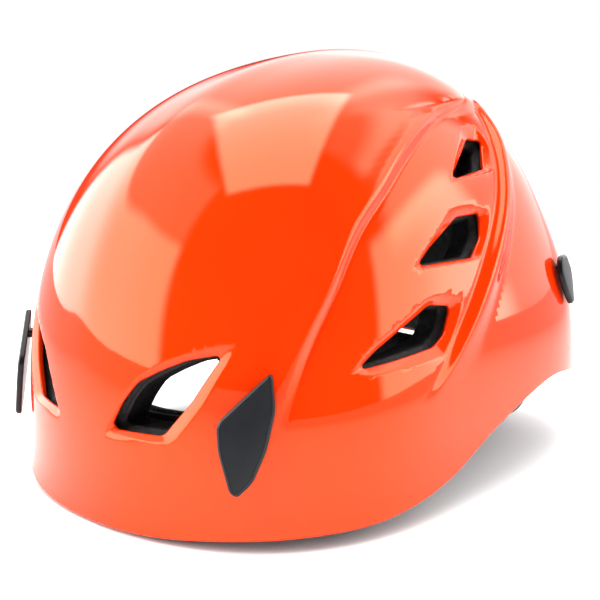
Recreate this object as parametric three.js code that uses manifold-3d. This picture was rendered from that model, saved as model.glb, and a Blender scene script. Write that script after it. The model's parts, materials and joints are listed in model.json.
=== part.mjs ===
// Climbing helmet: a hard shell over a foam liner, four headlamp clips, a headband with a size dial,
// and a chin harness tucked inside. Millimetres, +Z up. The front faces -Y and the wearer's left is +X.
// The helmet stands on the front of its rim and on the foot of the nape cradle.
import * as THREE from 'three';
import { mergeVertices } from 'three/addons/utils/BufferGeometryUtils.js';
import Module from 'manifold-3d';

const wasm = await Module();
wasm.setup();

// ---- Driving dimensions ----
// The outside is a unit sphere warped by these: sizes in mm, the rest are ratios.
const DOME = {
  halfWidth: 111.1, taper: -0.054, wideEnds: 0.064, halfLength: 139.4, shift: 2.6,
  equatorZ: 29.4, rise: 171, tilt: 21.1, tailUp: 6.8, skirt: 77.6,
  fullness: 0.063, square: 0.863, squareRear: 0.754, squareLow: 0.649,
  flare: 0.306, flareFront: -0.052, flareRear: 0.064,
};
// Height of the rim along the helmet, as [y, z].
const RIM = [
  [-150, 0], [-141, 0], [-120, 3.9], [-97, 5.6], [-56, 7.6], [-17, 15.3], [24, 31.9], [61, 41.8], [85, 42],
  [150, 28],
];
// The side panel lies between a front and a rear ridge, seen from the side as [z, y].
const FRONT_RIDGE = [
  [40, -107], [61, -97], [81, -87.5], [93, -78.5], [134, -48], [153, -22], [164, -1], [173, 38], [179.5, 77],
  [208, 88],
];
const REAR_RIDGE = [
  [40, -50], [63, -24], [73, -7], [88, 7.5], [104, 20.5], [121, 37], [133, 48], [146.5, 55.5], [164.5, 66.5],
  [179.5, 77.5], [208, 88],
];
const PANEL_DEPTH = 2.6;
const REAR_DEPTH = 4.6;
const PLATE_LIFT = 0.8;
const RIDGE_WIDTH = 8;

const SHELL_THICK = 3;
const LINER_GAP = 2;
const LINER_INSIDE = 20;
const LINER_LIFT = 7;

// Vent corners: the side vents are seen from the side as [y, z], the front ones from the front as [x, z].
const SIDE_VENTS = [
  [[40.4, 163.8], [50.7, 162.2], [43, 150.5], [14.7, 148.2], [26.3, 155.6]],
  [[26.5, 129.8], [22.3, 120.3], [13.1, 112.4], [-24.4, 113.7], [-15.1, 119.3], [8.5, 130.2]],
  [[-7.7, 92.1], [-14.2, 81.6], [-22, 77.2], [-66.1, 75.1], [-57.3, 80.7], [-41.5, 87.7], [-22.6, 94.9]],
];
const FRONT_VENT = [
  [66.8, 82.6], [57.1, 63], [45.8, 47.7], [20.3, 47], [27.4, 59.4], [34.4, 68.5], [45.3, 74.9], [55.4, 79.7],
];
const VENT_ROUND = 2.5;

// Headlamp clips: the blade's outline as [across, up] about its centre on the shell at [y, z].
const CLIP_THICK = 3;
const FRONT_CLIP = {
  at: [-110, 52],
  standoff: 2.6,
  lean: 3,
  stud: [3.5, 15],
  outline: [
    [11, 26.5], [-12, 4.6], [-11.4, -6.8], [-6.6, -24], [-3.4, -25.6], [3, -19.4], [8.6, -6], [12.2, 10],
  ],
};
const REAR_CLIP = {
  at: [95, 87],
  standoff: 0.4,
  lean: 3,
  stud: [-1, 7],
  outline: [[-7, 13.5], [4, 13.5], [10.5, 5], [8, -3], [2, -12], [-2, -12], [-9, -3], [-10.5, 6]],
};
const STUD_R = 2.5;

// Headband: the ring around the head, held at the temples.
const TEMPLE = { y: -5, z: 50, pinR: 4, eyeR: 9.5 };
const BAND = { halfWidth: 85.9, front: -104, thick: 1.8, height: 20, slope: 0.16 };
const ARM = { x: 83.0, thick: 1.8, height: 13, length: 62 };
const CRADLE = {
  tilt: -14, backY: 95, thick: 2.2, wingX: 80.6, cornerR: 44, sleeveY: 46, sleeveLength: 12, wingHeight: 14,
};
const GEAR = { module: 1, teeth: 10, y0: 99.2, y1: 103.2, backlash: 0.5 };
const RACK = { length: 50, overlap: 8, height: 3.2 };
const DIAL = { radius: 16.5, y0: 107.4, y1: 115.4, lobes: 12 };

// Harness webbing.
const WEB = { width: 15, thick: 1.6 };
const BUCKLE = { y: -76, z: 13.6, height: 25, thick: 8.4, femaleEnd: 26, mouth: -4, maleEnd: -26 };

const RAD = Math.PI / 180;
const V = (x, y, z) => new THREE.Vector3(x, y, z);

// ---- Solids ----
function toSolid(geometry) {
  const g = geometry.clone();
  g.deleteAttribute('normal');
  g.deleteAttribute('uv');
  const m = mergeVertices(g, 1e-4);
  return new wasm.Manifold(new wasm.Mesh({
    numProp: 3,
    vertProperties: new Float32Array(m.attributes.position.array),
    triVerts: new Uint32Array(m.index.array),
  }));
}

function toGeometry(solid) {
  const m = solid.getMesh();
  const g = new THREE.BufferGeometry();
  g.setAttribute('position', new THREE.BufferAttribute(new Float32Array(m.vertProperties), 3));
  g.setIndex(new THREE.BufferAttribute(new Uint32Array(m.triVerts), 1));
  return g;
}

function cut(geometry, ...tools) {
  let s = toSolid(geometry);
  for (const t of tools) s = s.subtract(toSolid(t));
  return toGeometry(s);
}

function join(geometry, ...others) {
  let s = toSolid(geometry);
  for (const t of others) s = s.add(toSolid(t));
  return toGeometry(s);
}

function common(a, b) {
  return toGeometry(toSolid(a).intersect(toSolid(b)));
}

function mirrored(geometry) {
  const g = geometry.index ? geometry.clone() : mergeVertices(geometry);
  const p = g.attributes.position;
  for (let i = 0; i < p.count; i++) p.setX(i, -p.getX(i));
  const t = Array.from(g.index.array);
  for (let i = 0; i < t.length; i += 3) [t[i + 1], t[i + 2]] = [t[i + 2], t[i + 1]];
  g.setIndex(t);
  g.deleteAttribute('normal');
  return g;
}

function block(x0, x1, y0, y1, z0, z1) {
  return new THREE.BoxGeometry(x1 - x0, y1 - y0, z1 - z0)
    .translate((x0 + x1) / 2, (y0 + y1) / 2, (z0 + z1) / 2);
}

// A round bar from a to b.
function bar(a, b, radius, sides = 20) {
  const along = b.clone().sub(a);
  const g = new THREE.CylinderGeometry(radius, radius, along.length(), sides);
  g.applyQuaternion(new THREE.Quaternion().setFromUnitVectors(V(0, 1, 0), along.clone().normalize()));
  return g.translate((a.x + b.x) / 2, (a.y + b.y) / 2, (a.z + b.z) / 2);
}

// An outline with its corners rounded.
function roundedShape(points, radius) {
  const shape = new THREE.Shape();
  points.forEach((p, i) => {
    const c = new THREE.Vector2(...p);
    const before = new THREE.Vector2(...points.at(i - 1)).sub(c);
    const after = new THREE.Vector2(...points[(i + 1) % points.length]).sub(c);
    const r = Math.min(radius, before.length() / 2, after.length() / 2);
    const start = c.clone().add(before.setLength(r));
    const end = c.clone().add(after.setLength(r));
    if (i === 0) shape.moveTo(start.x, start.y);
    else shape.lineTo(start.x, start.y);
    shape.quadraticCurveTo(c.x, c.y, end.x, end.y);
  });
  shape.closePath();
  return shape;
}

// An outline pushed from `from` to `to` along the third axis of the frame (right, up).
function prism(shape, right, up, from, to, bevel = 0) {
  const g = new THREE.ExtrudeGeometry(shape, {
    depth: to - from - 2 * bevel, curveSegments: 2, bevelEnabled: bevel > 0,
    bevelThickness: bevel, bevelSize: bevel, bevelOffset: -bevel, bevelSegments: 1,
  });
  const out = right.clone().cross(up);
  g.translate(0, 0, from + bevel);
  return g.applyMatrix4(new THREE.Matrix4().makeBasis(right, up, out));
}

const sidePrism = (shape, x0, x1) => prism(shape, V(0, 1, 0), V(0, 0, 1), x0, x1);
const rearPrism = (shape, y0, y1) => prism(shape, V(-1, 0, 0), V(0, 0, 1), y0, y1);
const topPrism = (shape, z0, z1, bevel = 0) => prism(shape, V(1, 0, 0), V(0, 1, 0), z0, z1, bevel);

// ---- The dome ----
const smooth = (t) => {
  const c = Math.min(1, Math.max(0, t));
  return c * c * (3 - 2 * c);
};

// A smooth curve through [x, value] points.
function through(points, x) {
  let i = 0;
  while (i < points.length - 2 && x > points[i + 1][0]) i++;
  const slope = (k) => {
    const a = points[Math.max(0, k - 1)];
    const b = points[Math.min(points.length - 1, k + 1)];
    return (b[1] - a[1]) / (b[0] - a[0]);
  };
  const [x0, v0] = points[i];
  const [x1, v1] = points[i + 1];
  const w = x1 - x0;
  const t = Math.min(1, Math.max(0, (x - x0) / w));
  const h = t * t * (3 - 2 * t);
  return v0 + (v1 - v0) * h + w * t * (1 - t) * ((1 - t) * slope(i) - t * slope(i + 1));
}

// beta runs round the helmet, -90 at the front, 0 at the left and 90 at the rear; alpha is the rise.
function domePoint(beta, alpha) {
  const nx = Math.cos(alpha) * Math.cos(beta);
  const ny = Math.cos(alpha) * Math.sin(beta);
  const up = Math.max(0, Math.sin(alpha));
  const down = Math.min(0, Math.sin(alpha));
  const corners = DOME.square + DOME.squareRear * Math.sin(beta) + DOME.squareLow * down * down;
  const power = Math.max(2, 2 + corners);
  const corner = (Math.abs(Math.cos(beta)) ** power + Math.abs(Math.sin(beta)) ** power) ** (-1 / power);
  const square = 1 + (corner - 1) * (1 - up * up);
  const full = 1 + DOME.fullness * 4 * up * up * (1 - up * up);
  const flare = DOME.flare + DOME.flareFront * Math.min(ny, 0) ** 2 + DOME.flareRear * Math.max(ny, 0) ** 2;
  const k = square * full * (1 + down * down * flare) / Math.sqrt(1 - down * down);
  return V(
    DOME.halfWidth * nx * (1 + DOME.taper * ny + DOME.wideEnds * ny * ny) * k,
    (DOME.halfLength * ny + DOME.shift * ny * ny) * k,
    DOME.equatorZ + DOME.rise * up * full + DOME.skirt * down
      + (DOME.tilt * ny + DOME.tailUp * ny * ny) * up,
  );
}

function domeNormal(beta, alpha) {
  const a = Math.min(alpha, 89.5 * RAD);
  const e = 1e-3;
  const du = domePoint(beta + e, a).sub(domePoint(beta - e, a));
  const dv = domePoint(beta, a + e).sub(domePoint(beta, a - e));
  return du.cross(dv).normalize();
}

const rimZ = (y) => Math.max(0, through(RIM, y));

// How far the outside stands off the plain dome: front plate, sunken side panel, lower rear.
function relief(p) {
  const side = (ridge) => {
    const slope = (through(ridge, p.z + 1) - through(ridge, p.z - 1)) / 2;
    return (p.y - through(ridge, p.z)) / Math.hypot(1, slope);
  };
  const panel = PANEL_DEPTH * smooth((p.z - 52) / 34);
  const rear = REAR_DEPTH * smooth((p.z - 60) / 70);
  return PLATE_LIFT - panel * smooth(side(FRONT_RIDGE) / RIDGE_WIDTH)
    - (rear - panel) * smooth(side(REAR_RIDGE) / RIDGE_WIDTH + 0.5);
}

function wallPoint(beta, alpha, offset, withRelief = false) {
  const p = domePoint(beta, alpha);
  return p.clone().addScaledVector(domeNormal(beta, alpha), offset + (withRelief ? relief(p) : 0));
}

// The rise at which a wall meets the rim line, lifted by `lift`.
function rimAlpha(beta, offset, lift) {
  let low = -60 * RAD;
  let high = 60 * RAD;
  for (let i = 0; i < 30; i++) {
    const mid = (low + high) / 2;
    const p = wallPoint(beta, mid, offset);
    if (p.z < rimZ(p.y) + lift) low = mid;
    else high = mid;
  }
  return (low + high) / 2;
}

// A closed dome wall between two offsets from the outer surface. `reliefs` says which of its faces
// follow the relief.
function domeWall(outer, inner, lift, columns, rows, reliefs = [false, false]) {
  const positions = [];
  const index = [];
  const skin = (offset, withRelief) => {
    const first = positions.length / 3;
    for (let r = 0; r < rows; r++) {
      for (let c = 0; c < columns; c++) {
        const beta = 2 * Math.PI * c / columns;
        const foot = rimAlpha(beta, offset, lift);
        const p = wallPoint(beta, foot + (90 * RAD - foot) * r / rows, offset, withRelief);
        if (r === 0) p.z = rimZ(p.y) + lift;
        positions.push(p.x, p.y, p.z);
      }
    }
    positions.push(...wallPoint(0, 90 * RAD, offset, withRelief).toArray());
    return first;
  };
  const quad = (a, b, c, d) => index.push(a, b, c, a, c, d);
  const out = skin(outer, reliefs[0]);
  const ins = skin(inner, reliefs[1]);
  for (let c = 0; c < columns; c++) {
    const n = (c + 1) % columns;
    for (let r = 0; r < rows - 1; r++) {
      const at = (start, row, col) => start + row * columns + col;
      quad(at(out, r, c), at(out, r, n), at(out, r + 1, n), at(out, r + 1, c));
      quad(at(ins, r, n), at(ins, r, c), at(ins, r + 1, c), at(ins, r + 1, n));
    }
    const top = (rows - 1) * columns;
    index.push(out + top + c, out + top + n, out + rows * columns);
    index.push(ins + top + n, ins + top + c, ins + rows * columns);
    quad(ins + c, ins + n, out + n, out + c);
  }
  const g = new THREE.BufferGeometry();
  g.setAttribute('position', new THREE.Float32BufferAttribute(positions, 3));
  g.setIndex(index);
  return g;
}

// The left wall's frame at a place along it and a height: its point, outward normal, and level and
// upward directions.
function wallFrame([y, z], offset = 0) {
  let beta = Math.asin(Math.max(-0.95, Math.min(0.95, y / DOME.halfLength)));
  let alpha = Math.asin(Math.max(-0.6, Math.min(0.95, (z - DOME.equatorZ) / DOME.rise)));
  const miss = (b, a) => {
    const p = domePoint(b, a);
    return [p.y - y, p.z - z];
  };
  for (let i = 0; i < 20; i++) {
    const e = 1e-4;
    const [fy, fz] = miss(beta, alpha);
    const [by, bz] = miss(beta + e, alpha).map((v, k) => (v - [fy, fz][k]) / e);
    const [ay, az] = miss(beta, alpha + e).map((v, k) => (v - [fy, fz][k]) / e);
    const det = by * az - ay * bz;
    beta -= (fy * az - ay * fz) / det;
    alpha -= (by * fz - bz * fy) / det;
  }
  const normal = domeNormal(beta, alpha);
  const level = V(-normal.y, normal.x, 0).normalize();
  const point = domePoint(beta, alpha).addScaledVector(normal, offset);
  return { point, normal, level, up: normal.clone().cross(level) };
}

// ---- Webbing and bands: a flat strip along a path, with its width along `w` ----
// `from` and `to` are shares of the path, and `offset` lifts the strip off it.
function strip(stations, width, thick, steps, { from = 0, to = 1, offset = 0 } = {}) {
  const path = new THREE.CatmullRomCurve3(stations.map((s) => V(...s.p)), false, 'centripetal');
  const turn = new THREE.CatmullRomCurve3(stations.map((s) => V(...s.w)), false, 'centripetal');
  const positions = [];
  const index = [];
  for (let i = 0; i <= steps; i++) {
    const t = from + (to - from) * i / steps;
    const p = path.getPoint(t);
    const tangent = path.getTangent(t);
    const lean = turn.getPoint(t);
    const across = lean.addScaledVector(tangent, -lean.dot(tangent)).normalize();
    const face = tangent.clone().cross(across);
    for (const [a, f] of [[-1, -1], [1, -1], [1, 1], [-1, 1]]) {
      const q = p.clone().addScaledVector(across, a * width / 2)
        .addScaledVector(face, f * thick / 2 + offset);
      positions.push(q.x, q.y, q.z);
    }
  }
  for (let i = 0; i < steps; i++) {
    for (let k = 0; k < 4; k++) {
      const a = 4 * i + k;
      const b = 4 * i + (k + 1) % 4;
      index.push(a, b, b + 4, a, b + 4, a + 4);
    }
  }
  const last = 4 * steps;
  index.push(0, 2, 1, 0, 3, 2, last, last + 1, last + 2, last, last + 2, last + 3);
  const g = new THREE.BufferGeometry();
  g.setAttribute('position', new THREE.Float32BufferAttribute(positions, 3));
  g.setIndex(index);
  return g;
}

// ---- Materials ----
function plain(color, roughness, metalness = 0) {
  return new THREE.MeshStandardMaterial({ color, roughness, metalness });
}
const MATERIAL = {
  shell: plain(0xff4a12, 0.12),
  foam: plain(0x17181a, 0.95),
  clip: plain(0x1a1c20, 0.45),
  plastic: plain(0x1d1f22, 0.5),
  pad: plain(0x26282b, 0.95),
  webbing: plain(0x121315, 0.85),
  dial: plain(0x2a2c30, 0.4),
  steel: plain(0xb8bcc2, 0.3, 1),
};

const helmet = new THREE.Group();
const cradleFrame = new THREE.Group();
cradleFrame.position.set(0, TEMPLE.y, TEMPLE.z);
cradleFrame.rotation.x = CRADLE.tilt * RAD;
helmet.add(cradleFrame);

function add(name, geometry, material, group = helmet) {
  const g = geometry.clone();
  g.computeVertexNormals();
  const mesh = new THREE.Mesh(g, material);
  mesh.name = name;
  group.add(mesh);
}

function addPair(name, geometry, material, group = helmet) {
  add(`${name}_left`, geometry, material, group);
  add(`${name}_right`, mirrored(geometry), material, group);
}

// ---- Shell and liner ----
const frontClip = wallFrame(FRONT_CLIP.at);
const rearClip = wallFrame(REAR_CLIP.at);

// A place in a clip's own plane, `out` away from the shell; the blade leans out towards its lower tip.
function clipPoint(frame, across, up, out) {
  return frame.point.clone().addScaledVector(frame.level, across)
    .addScaledVector(frame.up, up).addScaledVector(frame.normal, out);
}

function studHole(frame, clip, radius, inward) {
  const [across, up] = clip.stud;
  return bar(clipPoint(frame, across, up, 8), clipPoint(frame, across, up, -inward), radius, 14);
}

const ventCuts = SIDE_VENTS.map((v) => sidePrism(roundedShape(v, VENT_ROUND), -140, 140));
const frontVent = prism(roundedShape(FRONT_VENT, VENT_ROUND), V(1, 0, 0), V(0, 0, 1), 70, 160);
ventCuts.push(frontVent, mirrored(frontVent));

const clipsOnWall = [[frontClip, FRONT_CLIP], [rearClip, REAR_CLIP]];
const holesAtStuds = (radius, inward) => clipsOnWall.flatMap(([f, c]) => {
  const hole = studHole(f, c, radius, inward);
  return [hole, mirrored(hole)];
});

const shellWall = domeWall(0, -SHELL_THICK, 0, 56, 14, [true, true]);
add('outer_shell', cut(shellWall, ...ventCuts, ...holesAtStuds(STUD_R + 0.4, 7)), MATERIAL.shell);

// The liner has a notch at each strap anchor and a bore at each temple pin.
const ANCHORS = { front: [-49, 25], rear: [57, 56] };
const notches = Object.values(ANCHORS).flatMap(([y, z]) => [1, -1].map((s) => {
  const x = s * 100;
  return block(x - 22, x + 22, y - 14, y + 14, z - 40, z + 13);
}));
const pinBores = [1, -1].map((s) => bar(
  V(s * 80, TEMPLE.y, TEMPLE.z), V(s * 104, TEMPLE.y, TEMPLE.z), TEMPLE.pinR + 0.4,
));
add('foam_liner', cut(
  domeWall(-SHELL_THICK - LINER_GAP, -LINER_INSIDE, LINER_LIFT, 40, 10, [true, false]),
  ...ventCuts, ...holesAtStuds(STUD_R + 3, 10), ...notches, ...pinBores,
), MATERIAL.foam);

// ---- Headlamp clips ----
function clipSolid(frame, clip) {
  const lean = Math.tan(clip.lean * RAD);
  const [across, up] = clip.stud;
  const blade = prism(roundedShape(clip.outline, 3), V(1, 0, 0), V(0, 1, 0), 0, CLIP_THICK, 0.7);
  const p = blade.attributes.position;
  for (let i = 0; i < p.count; i++) {
    p.setZ(i, p.getZ(i) + clip.standoff + Math.max(0, up - p.getY(i)) * lean);
  }
  const axes = new THREE.Matrix4().makeBasis(frame.level, frame.up, frame.normal);
  blade.applyMatrix4(axes.setPosition(frame.point));
  const back = clipPoint(frame, across, up, -6);
  const front = clipPoint(frame, across, up, clip.standoff + 1);
  return join(blade, bar(back, front, STUD_R, 14));
}
addPair('clip_front', clipSolid(frontClip, FRONT_CLIP), MATERIAL.clip);
addPair('clip_rear', clipSolid(rearClip, REAR_CLIP), MATERIAL.clip);

// ---- Crown pad: a cross of foam under the crown of the liner ----
const cross = roundedShape([
  [11, 11], [48, 13], [48, -13], [11, -11], [13, -56], [-13, -56],
  [-11, -11], [-48, -13], [-48, 13], [-11, 11], [-13, 56], [13, 56],
], 6);
add('crown_pad', common(
  domeWall(-LINER_INSIDE - 0.6, -LINER_INSIDE - 6, 60, 28, 8), topPrism(cross, 100, 200),
), MATERIAL.pad);

// ---- Front band, brow pad and temple pins ----
const bandZ = (y) => TEMPLE.z + (y - TEMPLE.y) * BAND.slope;
function bandStations(from, to, count, inset) {
  const a = BAND.halfWidth - inset;
  const b = TEMPLE.y - BAND.front - inset;
  return Array.from({ length: count }, (_, i) => {
    const phi = (from + (to - from) * i / (count - 1)) * RAD;
    const y = TEMPLE.y - b * Math.sin(phi);
    return { p: [a * Math.cos(phi), y, bandZ(y)], w: [0, 0, 1] };
  });
}
const eye = (x0, x1) => bar(V(x0, 0, 0), V(x1, 0, 0), TEMPLE.eyeR, 20);
const eyeHole = bar(V(-100, 0, 0), V(100, 0, 0), TEMPLE.pinR + 0.3, 14);
const atTemple = (g) => g.clone().translate(0, TEMPLE.y, TEMPLE.z);
const bandEye = atTemple(eye(BAND.halfWidth - BAND.thick / 2, BAND.halfWidth + BAND.thick / 2));
add('front_band', cut(
  join(strip(bandStations(0, 180, 13, 0), BAND.height, BAND.thick, 26), bandEye, mirrored(bandEye)),
  atTemple(eyeHole),
), MATERIAL.plastic);
add('brow_pad', strip(bandStations(32, 148, 13, 4.2), 21, 5.5, 28), MATERIAL.pad);

// The band and the arms turn on this pin: a head inside, a shank through both eyes into the liner.
const pin = join(
  bar(V(79.8, 0, 0), V(81.7, 0, 0), 7.5, 24), bar(V(81, 0, 0), V(101, 0, 0), TEMPLE.pinR, 20),
);
addPair('temple_pin', atTemple(pin), MATERIAL.dial);

// ---- Side arms and nape cradle, in the cradle's own tilted frame with its origin on the temple axis ----
const armIn = ARM.x - ARM.thick / 2;
const armOut = ARM.x + ARM.thick / 2;
const arm = cut(
  join(block(armIn, armOut, 0, ARM.length, -ARM.height / 2, ARM.height / 2), eye(armIn, armOut)), eyeHole,
);
addPair('side_arm', arm, MATERIAL.plastic, cradleFrame);

// The wings run forward from the back plate round rounded corners, to a sleeve that each arm slides in.
function cradleStations() {
  const half = [];
  const { wingX, cornerR, backY, sleeveY, sleeveLength } = CRADLE;
  const turnY = backY - cornerR;
  for (const y of [sleeveY + sleeveLength - 10, (sleeveY + turnY) / 2 + 3]) {
    half.push({ p: [wingX, y, 0], w: [0, 0, 1] });
  }
  for (let d = 0; d <= 90; d += 15) {
    const x = wingX - cornerR + cornerR * Math.cos(d * RAD);
    half.push({ p: [x, turnY + cornerR * Math.sin(d * RAD), 0], w: [0, 0, 1] });
  }
  half.push({ p: [15, backY, 0], w: [0, 0, 1] });
  return [...half, ...half.toReversed().map((s) => ({ p: [-s.p[0], s.p[1], 0], w: s.w }))];
}
const sleeve = cut(
  block(78.6, armOut + 1.8, CRADLE.sleeveY, CRADLE.sleeveY + CRADLE.sleeveLength, -8.8, 8.8),
  block(armIn - 0.35, armOut + 0.35, 0, 100, -ARM.height / 2 - 0.4, ARM.height / 2 + 0.4),
);
const backIn = CRADLE.backY - CRADLE.thick / 2;
const backOut = CRADLE.backY + CRADLE.thick / 2;
const lobes = roundedShape([
  [36, 8], [30, 17], [-30, 17], [-36, 8], [-38, -8], [-47, -16], [-42, -32], [-20, -32], [0, -20], [20, -32],
  [42, -32], [47, -16], [38, -8],
], 7);
const trayWall = block(-44, 44, backOut - 0.5, GEAR.y1 + 0.4, 10, 12);
const foot = block(-40, 40, backIn - 9, backOut, -32, -24);
// Everything below the floor is cut away, which leaves the foot's flat face.
const floorCut = block(-200, 200, -200, 300, -200, 0)
  .translate(0, -TEMPLE.y, -TEMPLE.z).rotateX(-CRADLE.tilt * RAD);
const footGap = block(-20, 20, 0, 200, -60, -20);
const cradle = cut(
  join(
    strip(cradleStations(), CRADLE.wingHeight, CRADLE.thick, 26), sleeve, mirrored(sleeve),
    rearPrism(lobes, backIn, backOut), foot, trayWall, trayWall.clone().translate(0, 0, -22),
  ),
  floorCut, footGap, bar(V(0, 80, 0), V(0, 110, 0), 2.9),
);
add('nape_cradle', cradle, MATERIAL.plastic, cradleFrame);

const padShape = roundedShape([
  [34, 14], [-34, 14], [-38, -8], [-42, -14], [-38, -21], [-16, -21], [0, -14],
  [16, -21], [38, -21], [42, -14], [38, -8],
], 6);
add('nape_pad', rearPrism(padShape, backIn - 6.4, backIn - 0.4), MATERIAL.pad, cradleFrame);

// ---- Size dial: a pinion between two racks ----
const pitchR = GEAR.module * GEAR.teeth / 2;
const pitch = Math.PI * GEAR.module;
function gearShape() {
  const tip = pitchR + 0.8 * GEAR.module;
  const root = pitchR - 1.1 * GEAR.module;
  const half = (pitch - GEAR.backlash) / 4 / pitchR;
  const flank = [[root, -1.55], [pitchR, -1], [tip, -0.5], [tip, 0.5], [pitchR, 1], [root, 1.55]];
  return new THREE.Shape(Array.from({ length: GEAR.teeth }, (_, k) => flank.map(([r, a]) => {
    const angle = 2 * Math.PI * k / GEAR.teeth + a * half;
    return new THREE.Vector2(r * Math.cos(angle), r * Math.sin(angle));
  })).flat());
}
add('dial_pinion', join(
  rearPrism(gearShape(), GEAR.y0, GEAR.y1),
  bar(V(0, backIn, 0), V(0, GEAR.y0 + 1, 0), 2.5, 20),
  bar(V(0, GEAR.y1 - 1, 0), V(0, DIAL.y1 - 3, 0), 3.6, 20),
), MATERIAL.dial, cradleFrame);

// A rack above the pinion, its teeth down; the left one's tail passes the pinion by `overlap`.
function rackShape() {
  const tipZ = pitchR - 0.75 * GEAR.module;
  const rootZ = pitchR + 1.15 * GEAR.module;
  const x0 = -RACK.overlap;
  const points = [[RACK.length - RACK.overlap, rootZ + RACK.height], [x0, rootZ + RACK.height], [x0, rootZ]];
  const half = (pitch - GEAR.backlash) / 4;
  for (let k = Math.ceil(x0 / pitch); (k + 0.5) * pitch < RACK.length - RACK.overlap - 2; k++) {
    const mid = k * pitch;
    if (mid - half * 1.6 < x0) continue;
    points.push([mid - half * 1.5, rootZ], [mid - half * 0.55, tipZ]);
    points.push([mid + half * 0.55, tipZ], [mid + half * 1.5, rootZ]);
  }
  points.push([RACK.length - RACK.overlap, rootZ]);
  return new THREE.Shape(points.map((p) => new THREE.Vector2(...p)));
}
const rack = prism(rackShape(), V(1, 0, 0), V(0, 0, 1), -GEAR.y1, -GEAR.y0);
add('rack_left', rack, MATERIAL.dial, cradleFrame);
add('rack_right', rack.clone().rotateY(Math.PI), MATERIAL.dial, cradleFrame);

const coverIn = GEAR.y1 + 0.7;
const cover = cut(
  rearPrism(roundedShape([[44, 12.5], [-44, 12.5], [-44, -12.5], [44, -12.5]], 6), coverIn, coverIn + 2.4),
  bar(V(0, 90, 0), V(0, 120, 0), 4.1),
  ...[-38, 38].map((x) => bar(V(x, 90, 0), V(x, 120, 0), 1.7, 12)),
);
add('dial_cover', cover, MATERIAL.plastic, cradleFrame);
for (const [name, x] of [['left', 38], ['right', -38]]) {
  add(`cover_screw_${name}`, join(
    bar(V(x, coverIn + 2.7, 0), V(x, coverIn + 4.2, 0), 2.8, 16),
    bar(V(x, backOut + 0.3, 0), V(x, coverIn + 3, 0), 1.3, 12),
  ), MATERIAL.steel, cradleFrame);
}

function dialShape() {
  const count = DIAL.lobes * 4;
  return new THREE.Shape(Array.from({ length: count }, (_, i) => {
    const a = 2 * Math.PI * i / count;
    const r = DIAL.radius - 0.7 * (1 + Math.cos(DIAL.lobes * a));
    return new THREE.Vector2(r * Math.cos(a), r * Math.sin(a));
  }));
}
add('size_dial', cut(
  rearPrism(dialShape(), DIAL.y0, DIAL.y1),
  bar(V(0, 90, 0), V(0, DIAL.y1 - 2.7, 0), 3.9, 20), bar(V(0, 90, 0), V(0, 130, 0), 2, 16),
  bar(V(0, DIAL.y1 - 1.6, 0), V(0, 130, 0), 10.5, 24),
), MATERIAL.dial, cradleFrame);
add('dial_screw', join(
  bar(V(0, DIAL.y1 - 1.3, 0), V(0, DIAL.y1 - 0.2, 0), 4, 20),
  bar(V(0, DIAL.y1 - 2.7, 0), V(0, DIAL.y1 - 1, 0), 1.6, 16),
), MATERIAL.steel, cradleFrame);

// ---- Strap anchors on the inside of the shell ----
function anchorSolid(at) {
  const f = wallFrame(at, -SHELL_THICK);
  const basis = new THREE.Matrix4().makeBasis(f.level, f.up, f.normal).setPosition(f.point);
  const plate = topPrism(roundedShape([[11, 9], [-11, 9], [-11, -9], [11, -9]], 3), -4.4, -1.9);
  const slot = block(-8.4, 8.4, -6.5, -3, -6, 0);
  return cut(plate, slot).applyMatrix4(basis);
}
addPair('anchor_front', anchorSolid(ANCHORS.front), MATERIAL.plastic);
addPair('anchor_rear', anchorSolid(ANCHORS.rear), MATERIAL.plastic);

// ---- Harness ----
const DIVIDER = { x: 50, y: 8, z0: 0.6, z1: 4.4 };
// Where webbing hangs in front of its anchor, and the rest of its way to the divider.
function strapStations(at, rest) {
  const f = wallFrame(at, -SHELL_THICK - 5.8);
  const top = f.point.clone().addScaledVector(f.up, 7);
  const low = f.point.clone().addScaledVector(f.up, -9);
  const level = f.level.toArray();
  return [{ p: top.toArray(), w: level }, { p: low.toArray(), w: level }, ...rest];
}
const frontStrap = strapStations(ANCHORS.front, [
  { p: [98.5, -47, 6], w: [0.1, 1, 0] }, { p: [92, -42, 2], w: [0.4, 0.9, 0] },
  { p: [80, -28, 1.5], w: [0.72, 0.7, 0] }, { p: [64.5, -9, 1.9], w: [0.76, 0.65, 0] },
]);
const rearStrap = strapStations(ANCHORS.rear, [
  { p: [99, 56, 40], w: [-0.1, 1, 0] }, { p: [96, 53, 29], w: [-0.2, 1, 0] },
  { p: [90, 47, 21.5], w: [-0.5, 0.86, 0] }, { p: [83, 40.5, 13], w: [-0.65, 0.75, 0] },
  { p: [75.5, 33, 4.5], w: [-0.7, 0.71, 0] }, { p: [66.4, 24, 1.9], w: [-0.7, 0.7, 0] },
]);
addPair('strap_front', strip(frontStrap, WEB.width, WEB.thick, 22), MATERIAL.webbing);
addPair('strap_rear', strip(rearStrap, WEB.width, WEB.thick, 26), MATERIAL.webbing);

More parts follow.
